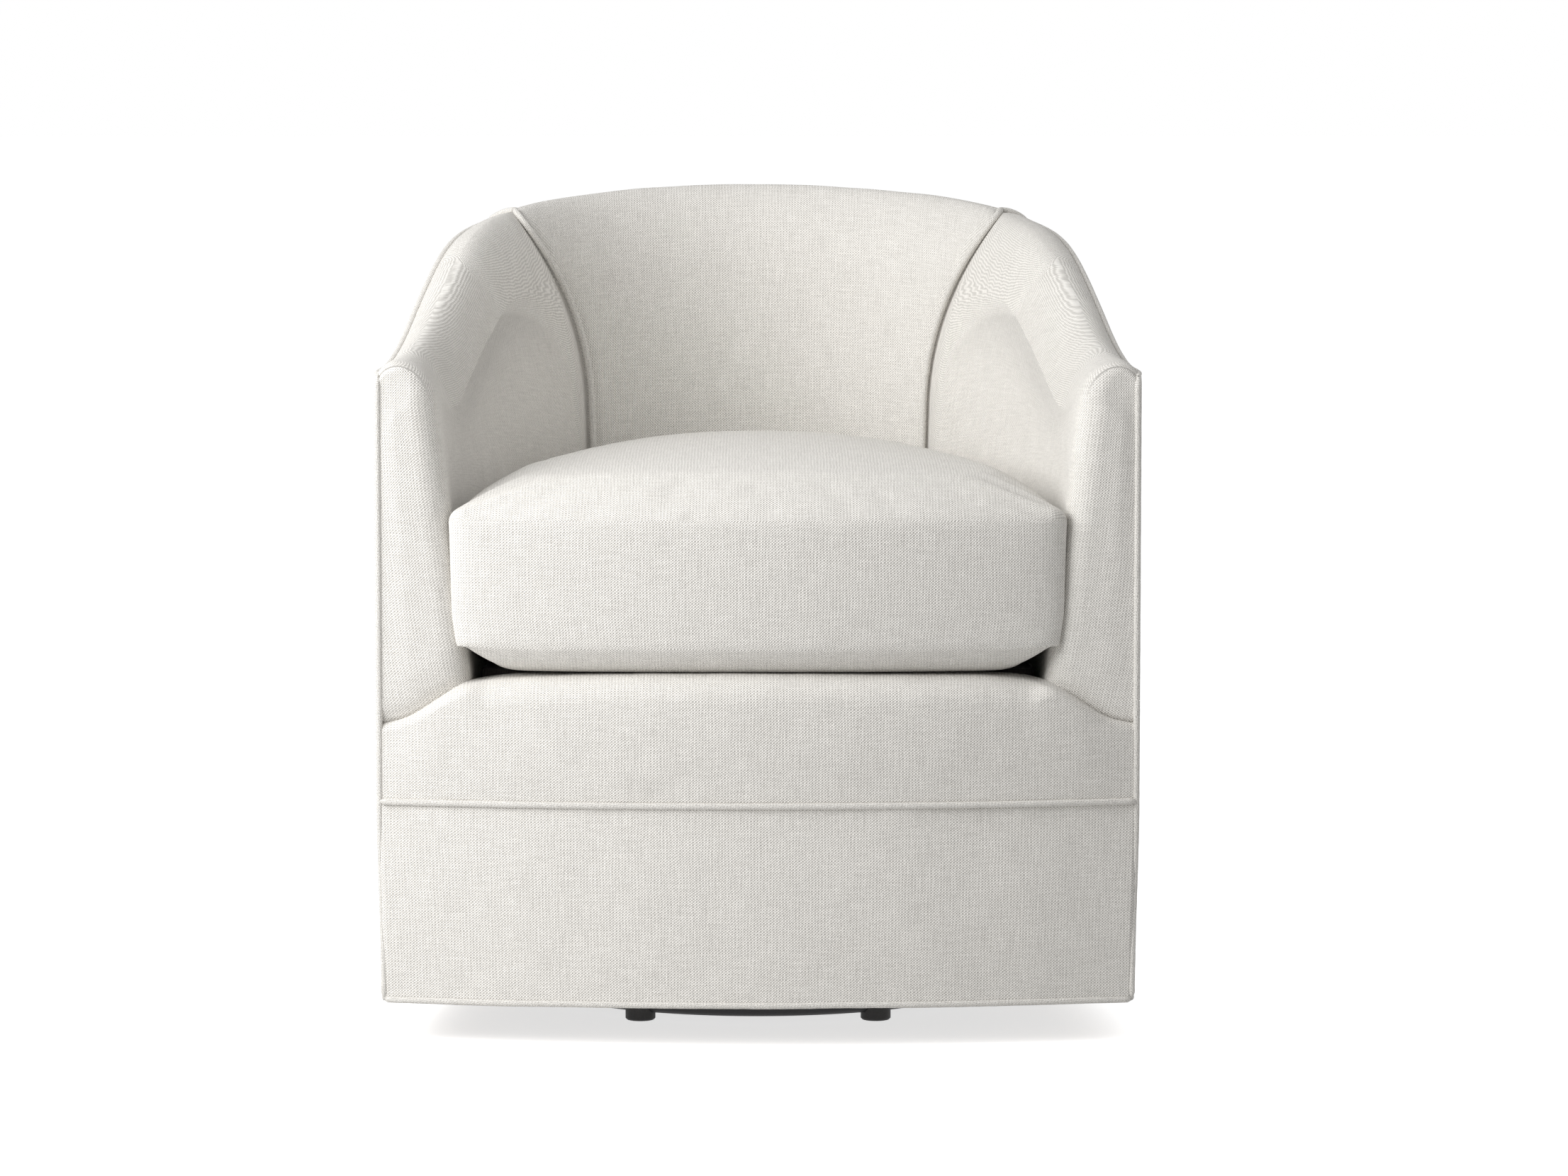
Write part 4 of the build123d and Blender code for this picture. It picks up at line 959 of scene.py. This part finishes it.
hem_angles = np.linspace(front_angle, 180 - front_angle, SIDE_POINTS)
hem_sides = [(*body.point(angle, HEM_WELT_IN), HEM_HEIGHT) for angle in hem_angles]
welt("edge_welt_cord", edge_welt_path(), ["top_welt", "side_welt_left", "side_welt_right"])
welt("band_welt_cord", front_path(EDGE_WELT_IN, BAND_HEIGHT), ["band_welt"])
welt("hem_welt_front", front_path(HEM_WELT_IN, HEM_HEIGHT, 1.0), ["hem_welt"])
welt("hem_welt_sides", hem_sides, ["hem_welt"])
for hand, side in ((1, "right"), (-1, "left")):
    welt(f"inside_back_cord_{side}", seam_path(hand), [f"inside_back_welt_{side}"])
    angle = back_seam if hand > 0 else 180 - back_seam
    x, y = body.point(angle, EDGE_WELT_IN)
    rise = np.linspace(HEM_HEIGHT, Section(angle).crown - WELT_DROP, BACK_CORNER_POINTS)
    welt(f"back_corner_cord_{side}", [(x, y, z) for z in rise], ["back_corner_welts"])

# Loose boxed cushion: panels as grids between four corners, swollen as cloth under pressure
CUSHION_FOOT = 0.3627
CUSHION_LOW_SEAM = 0.389
CUSHION_TOP_SEAM = 0.513
CUSHION_TOP = 0.563
CUSHION_CELLS = 60
CUSHION_BOXES = 14
CUSHION_GAP = 0.006
CUSHION_HALF_WIDTH = 0.29
CUSHION_HALF_DEPTH = 0.33
CROWN_ACROSS = 2.1
CROWN_ALONG = 2.6
CROWN_FULLNESS = 0.9
BRIM_RISE = 0.027
SIDE_BRIM = 0.034
FRONT_BRIM = 0.055
FOOT_ROUNDING = 0.042
FOOT_POWER = 2.1
FOOT_CORNER_POWER = 24
FOOT_STILL_INSIDE = 0.02
SWELL_PRESSURE = 4.0
SWELL_MOST = 0.007
SWELL_FRAMES = 20

# Plan of the cushion: front run, rounded corner that flares past the arm fronts at a height, and wall run
FRONT_IN = 0.004
FRONT_HALF = 0.272
FRONT_RUN_POINTS = 50
FLARE = (
    (0.276, -0.3534), (0.285, -0.3512), (0.2925, -0.3475), (0.2975, -0.3425), (0.2990, -0.3375),
    (0.2962, -0.3330), (0.2915, -0.3285), (0.2868, -0.3225), (0.2835, -0.3160),
)
FLARE_CORNER = 3
FLARE_HEIGHT = 0.451
FLARE_LEAN_YS = (-0.3475, -0.318)
FLARE_LOW = 0.42
FLARE_LOW_LEAN = 0.004 / 0.03
WALL_RUN_DEPTH = 0.034
WALL_RUN_POINTS = 160
WALL_RUN_CORNER = 105

# Shares along each run of the cushion, closer together by the seams
even_shares = np.linspace(0, 1, CUSHION_CELLS + 1)
CUSHION_SHARES = 0.25 * even_shares + 0.75 * (0.5 - 0.5 * np.cos(pi * even_shares))


def spaced(points):
    """Points along a line of points, closer together by its ends."""
    points = np.asarray(points)
    lengths = line_lengths(points)
    spots = CUSHION_SHARES * lengths[-1]
    return np.stack([np.interp(spots, lengths, points[:, i]) for i in range(points.shape[1])], axis=1)


def cushion_sides(height):
    """Right front, right side and right half of the back of the cushion's plan at a height."""
    shift = (height - FLARE_HEIGHT) * front_section.lean
    drawn_in = FLARE_LOW_LEAN * max(0, FLARE_LOW - height)
    front = [(x, bow_y(x, FRONT_IN)) for x in np.linspace(0, FRONT_HALF, FRONT_RUN_POINTS)]
    flare = [(x + shift * float(smooth(y, *FLARE_LEAN_YS)) - drawn_in, y) for x, y in FLARE]
    wall = []
    for angle in np.linspace(body.side_angle(WALL_RUN_DEPTH), 90, WALL_RUN_POINTS):
        wall.append(body.point(angle, Section(angle).face_at(height) + CUSHION_GAP))
    side = flare[FLARE_CORNER:] + wall[: WALL_RUN_CORNER + 1]
    return front + flare[: FLARE_CORNER + 1], side, wall[WALL_RUN_CORNER:]


def cushion_loop(height):
    """Plan of the cushion as a loop from the left front corner, in four runs of equal count."""
    front, side, back = [np.array(run) for run in cushion_sides(height)]
    flip = np.array((-1, 1))
    runs = (
        np.vstack([front[::-1] * flip, front[1:]]),
        side,
        np.vstack([back, back[::-1][1:] * flip]),
        side[::-1] * flip,
    )
    return [spaced(run) for run in runs]


def coons(runs):
    """Grid of plan points between four runs that meet at the corners."""
    front, right, back, left = runs[0], runs[1], runs[2][::-1], runs[3][::-1]
    s = CUSHION_SHARES[None, :, None]
    t = CUSHION_SHARES[:, None, None]
    ruled = front[None] * (1 - t) + back[None] * t + left[:, None] * (1 - s) + right[:, None] * s
    corners = (front[0] * (1 - s) + front[-1] * s) * (1 - t) + (back[0] * (1 - s) + back[-1] * s) * t
    return ruled - corners


def rounded(distance, reach):
    """Quarter round from 0 at an edge to 1 at a reach inside it."""
    return np.sqrt(1 - np.maximum(1 - distance / reach, 0) ** 2)


def cushion_panels():
    """Grids of the top and bottom panels before they swell, and their points' distances inside the seam."""
    a = np.abs(2 * CUSHION_SHARES - 1)[None, :]
    b = np.abs(2 * CUSHION_SHARES - 1)[:, None]
    crown = (1 - a**CROWN_ACROSS) * (1 - b**CROWN_ALONG) ** CROWN_FULLNESS
    brim = rounded((1 - a) * CUSHION_HALF_WIDTH, SIDE_BRIM)
    brim = brim * rounded((1 - b) * CUSHION_HALF_DEPTH, FRONT_BRIM)
    rise = CUSHION_TOP - CUSHION_TOP_SEAM - BRIM_RISE
    top = coons(cushion_loop(CUSHION_TOP_SEAM))
    top = np.dstack([top, CUSHION_TOP_SEAM + BRIM_RISE * brim + rise * crown])
    outward = (a**FOOT_CORNER_POWER + b**FOOT_CORNER_POWER) ** (1 / FOOT_CORNER_POWER)
    from_edge = np.maximum(1 - outward, 0) * CUSHION_HALF_WIDTH
    edge = np.maximum(1 - from_edge / FOOT_ROUNDING, 0) ** FOOT_POWER
    low = coons(cushion_loop(CUSHION_LOW_SEAM))
    low = np.dstack([low, CUSHION_FOOT + (CUSHION_LOW_SEAM - CUSHION_FOOT) * edge])
    inside = (1 - np.maximum(a, b)) * CUSHION_HALF_WIDTH
    return top, low, inside


def cushion_boxing(top_rim, low_rim, first):
    """Points of the boxing between the seams, and its rings of vertex numbers from low seam to top seam."""
    count = len(top_rim)
    spots = []
    rings = [low_rim]
    for box in range(1, CUSHION_BOXES):
        height = CUSHION_LOW_SEAM + (CUSHION_TOP_SEAM - CUSHION_LOW_SEAM) * box / CUSHION_BOXES
        loop = np.vstack([run[:-1] for run in cushion_loop(height)])
        spots.append(np.column_stack([loop, np.full(count, height)]))
        rings.append(np.arange(first, first + count))
        first += count
    return np.vstack(spots), rings + [top_rim]


def boxing_faces(vertices, rings):
    """Quads of the boxing, and their maps: the length round the cushion and the height."""
    outline = vertices[rings[CUSHION_BOXES // 2]]
    girth = line_lengths(np.vstack([outline, outline[:1]]))
    around = np.stack([girth[:-1], girth[1:], girth[1:], girth[:-1]], axis=-1)
    faces = []
    maps = []
    for lower, upper in zip(rings, rings[1:]):
        quads = np.stack([lower, np.roll(lower, -1), np.roll(upper, -1), upper], axis=-1)
        faces.append(quads)
        maps.append(np.stack([around, vertices[quads][..., 2]], axis=-1).reshape(-1, 2))
    return faces, maps


def centred_map(panel):
    """Lengths across and up a panel from its middle, one row for each point."""
    middle = CUSHION_CELLS // 2
    across = run_lengths(panel, 1)
    up = run_lengths(panel, 0)
    across = across - across[:, middle : middle + 1]
    up = up - up[middle : middle + 1]
    return np.stack([across, up], axis=-1).reshape(-1, 2)


def cushion_shape():
    """Vertices, quads, their maps and the held points of the boxed cushion before it swells."""
    top, low, inside = cushion_panels()
    count = (CUSHION_CELLS + 1) ** 2
    index = np.arange(count).reshape(inside.shape)
    rim = np.concatenate([index[0, :-1], index[:-1, -1], index[-1, :0:-1], index[:0:-1, 0]])
    spots, rings = cushion_boxing(rim, rim + count, 2 * count)
    vertices = np.vstack([top.reshape(-1, 3), low.reshape(-1, 3), spots])
    quads = grid_quads(index)
    turned = quads[:, ::-1]
    faces, maps = boxing_faces(vertices, rings)
    faces = [quads, turned + count] + faces
    maps = [centred_map(top)[quads.ravel()], centred_map(low)[turned.ravel()]] + maps
    held = np.concatenate([rim, rim + count, index[inside > FOOT_STILL_INSIDE] + count])
    return vertices, np.vstack(faces), np.vstack(maps), held


def swell(piece, held, pressure, most):
    """Blow a closed piece up as cloth with some points held, and cap how far a point may go."""
    before = vertex_places(piece)
    pins = piece.vertex_groups.new(name="held")
    pins.add([int(i) for i in held], 1.0, "REPLACE")
    cloth = piece.modifiers.new("cloth", "CLOTH")
    settings = cloth.settings
    settings.quality = 6
    settings.mass = 0.3
    settings.tension_stiffness = 12
    settings.compression_stiffness = 12
    settings.shear_stiffness = 5
    settings.bending_stiffness = 0.4
    settings.use_pressure = True
    settings.uniform_pressure_force = pressure
    settings.vertex_group_mass = "held"
    settings.effector_weights.gravity = 0
    cloth.point_cache.frame_start = 1
    cloth.point_cache.frame_end = SWELL_FRAMES
    for step in range(1, SWELL_FRAMES + 1):
        bpy.context.scene.frame_set(step)
    apply_modifiers(piece)
    bpy.context.scene.frame_set(1)
    move = vertex_places(piece) - before
    length = np.linalg.norm(move, axis=1, keepdims=True)
    place_vertices(piece, before + move * np.minimum(1, most / np.maximum(length, 1e-9)))
    piece.vertex_groups.clear()


def seat_cushion():
    vertices, faces, maps, held = cushion_shape()
    piece = new_piece("seat_cushion_cloth", vertices, faces, maps)
    swell(piece, held, SWELL_PRESSURE, SWELL_MOST)
    subdivide(piece)
    finish_piece(piece, linen, ["seat_cushion"], body_name="cushion")
    return piece


seat_cushion()

# Deck and dust sheet
SHEET_COLUMNS = 121
SHEET_ROWS = 41
SHEET_START_DEPTH = 0.05
SHEET_PUFFS = ((0.0006, 0.07),)
DECK_CLEARANCE = 0.003
DECK_FRONT_IN = 0.068
DECK_DEPTH = 0.030
DUST_IN = 0.0268
DUST_FRONT_IN = 0.0388
DUST_HEIGHT = 0.2112
DUST_CLOTH = 0.0010


def tub_sheet(name, inset_at, front_distance, height, nodes, thickness):
    """A level sheet inside the tub, from the front rail to the back."""
    start = body.side_angle(SHEET_START_DEPTH)
    angles = np.linspace(start, 180 - start, SHEET_COLUMNS)
    rim = np.array([body.point(angle, inset_at(angle)) for angle in angles])
    spots = np.linspace(rim[0][0], rim[-1][0], SHEET_COLUMNS)
    fronts = np.array([(x, bow_y(x, front_distance)) for x in spots])
    level = np.full(SHEET_COLUMNS, height)
    shares = np.linspace(0, 1, SHEET_ROWS)
    points = np.array([np.column_stack([fronts + (rim - fronts) * share, level]) for share in shares])
    across = points[..., 0].copy()
    up = points[..., 1].copy()
    points[..., 2] += puffs(points, SHEET_PUFFS, [51])
    piece = fabric_mesh(name, points, across, up, flip=True)
    thicken(piece, thickness)
    finish_piece(piece, deck_cloth, nodes)
    return piece, points


def deck_inset(angle):
    return Section(angle).deck_thickness + DECK_CLEARANCE


def dust_inset(angle):
    return DUST_IN


deck_nodes = ["deck_cover", "deck_pad", "deck_insulator"]
deck, _ = tub_sheet("deck_pad_cloth", deck_inset, DECK_FRONT_IN, DECK_TOP, deck_nodes, DECK_DEPTH)
dust, dust_points = tub_sheet(
    "dust_sheet_cloth", dust_inset, DUST_FRONT_IN, DUST_HEIGHT, ["dust_sheet"], DUST_CLOTH
)

# Webbing up the inside of the frame
WEBBING_IN = 0.0266
WEBBING_WIDTH = 0.050
WEBBING_FOOT = 0.248
WEBBING_HEAD_DROP = 0.032
WEBBING_CLOTH = 0.0016
WEBBING_ROWS = 40
WEBBING_COLUMNS = 9
POST_DEPTH = 0.058
POST_TURN = 4.0
BACK_STRIP_PITCH = 0.118
arm_spread = degrees(WEBBING_WIDTH / 2 / body.side_radius)
back_spread = degrees(WEBBING_WIDTH / 2 / (BACK_RADIUS - WEBBING_IN))


def webbing_strip(name, facing, spread):
    """A strip of jute webbing up the inside of the frame."""
    head = edge_at(body.point(facing)[1] - FRONT_Y) - WEBBING_HEAD_DROP
    rows = []
    for height in np.linspace(WEBBING_FOOT, head, WEBBING_ROWS):
        angles = np.linspace(facing - spread, facing + spread, WEBBING_COLUMNS)
        rows.append([(*body.point(angle, WEBBING_IN), height) for angle in angles])
    points = np.array(rows)
    piece = fabric_mesh(name, points, run_lengths(points, 1), points[..., 2].copy(), flip=True)
    thicken(piece, WEBBING_CLOTH)
    finish_piece(piece, tape, ["webbing"])


post_end = body.side_angle(POST_DEPTH)
post_start = back_seam - POST_TURN
for number in (1, 2, 3):
    facing = post_end + (post_start - post_end) * number / 4
    webbing_strip(f"webbing_right_{number}", facing, arm_spread)
    webbing_strip(f"webbing_left_{number}", 180 - facing, arm_spread)
for number in (1, 2, 3):
    x = (2 - number) * BACK_STRIP_PITCH
    facing = 90 - degrees(asin(x / (BACK_RADIUS - WEBBING_IN)))
    webbing_strip(f"webbing_back_{number}", facing, back_spread)

# Camera, floor, world and lamps
PHOTO_WIDTH_PIXELS = 2212
PHOTO_FOCAL_PIXELS = 8758
SENSOR_WIDTH = 36.0
CAMERA_PLACE = (0.0, -6.340, 1.0138)
CAMERA_DOWN = 5.41
CAMERA_TURN = -0.242
FLOOR_REACH = 40.0
FLOOR_GREY = 0.75
FLOOR_PALE = 0.92
FLOOR_GLOW = 0.70
AMBIENT = 0.34
LAMP_TARGET = (0, 0, 0.5)
KEY_PLACE = (-1.50, -1.20, 1.45)
KEY_SIZE = 1.5
KEY_POWER = 49
SIDE_PLACE = (1.5, 0.1, 2.1)
SIDE_SIZE = 2.4
SIDE_POWER = 12


def camera():
    data = bpy.data.cameras.new("camera")
    data.sensor_width = SENSOR_WIDTH
    data.lens = SENSOR_WIDTH * PHOTO_FOCAL_PIXELS / PHOTO_WIDTH_PIXELS
    view = bpy.data.objects.new("camera", data)
    view.location = CAMERA_PLACE
    view.rotation_euler = (radians(90 - CAMERA_DOWN), 0.0, radians(CAMERA_TURN))
    bpy.context.scene.collection.objects.link(view)
    bpy.context.scene.camera = view


def floor():
    mesh = bpy.data.meshes.new("floor")
    reach = FLOOR_REACH
    corners = [(-reach, -reach, 0), (reach, -reach, 0), (reach, reach, 0), (-reach, reach, 0)]
    mesh.from_pydata(corners, [], [(0, 1, 2, 3)])
    ground = bpy.data.objects.new("floor", mesh)
    bpy.context.scene.collection.objects.link(ground)
    material = bpy.data.materials.new("floor")
    shading = Shading(material)
    shading.nodes.remove(shading.nodes["Principled BSDF"])
    plain = shading.add("BsdfDiffuse", {"Color": (FLOOR_GREY, FLOOR_GREY, FLOOR_GREY, 1)})
    pale = shading.add("BsdfDiffuse", {"Color": (FLOOR_PALE, FLOOR_PALE, FLOOR_PALE, 1)})
    glow = shading.add("Emission", {"Strength": FLOOR_GLOW})
    both = shading.add("AddShader", {0: pale.outputs[0], 1: glow.outputs[0]})
    shading.seen_mix(plain, both, "Material Output")
    mesh.materials.append(material)


def world():
    scene_world = bpy.data.worlds.new("world")
    bpy.context.scene.world = scene_world
    shading = Shading(scene_world)
    white = (1, 1, 1, 1)
    light = shading.feed(shading.nodes["Background"], {"Color": white, "Strength": AMBIENT})
    backdrop = shading.add("Background", {"Color": white, "Strength": 1.0})
    shading.seen_mix(light, backdrop, "World Output")


def area_light(name, place, size, power):
    data = bpy.data.lights.new(name, "AREA")
    data.shape = "SQUARE"
    data.size = size
    data.energy = power
    lamp = bpy.data.objects.new(name, data)
    lamp.location = place
    lamp.rotation_euler = (Vector(LAMP_TARGET) - Vector(place)).to_track_quat("-Z", "Y").to_euler()
    bpy.context.scene.collection.objects.link(lamp)


camera()
floor()
world()
area_light("key", KEY_PLACE, KEY_SIZE, KEY_POWER)
area_light("side", SIDE_PLACE, SIDE_SIZE, SIDE_POWER)

bpy.context.scene.view_settings.view_transform = "Standard"
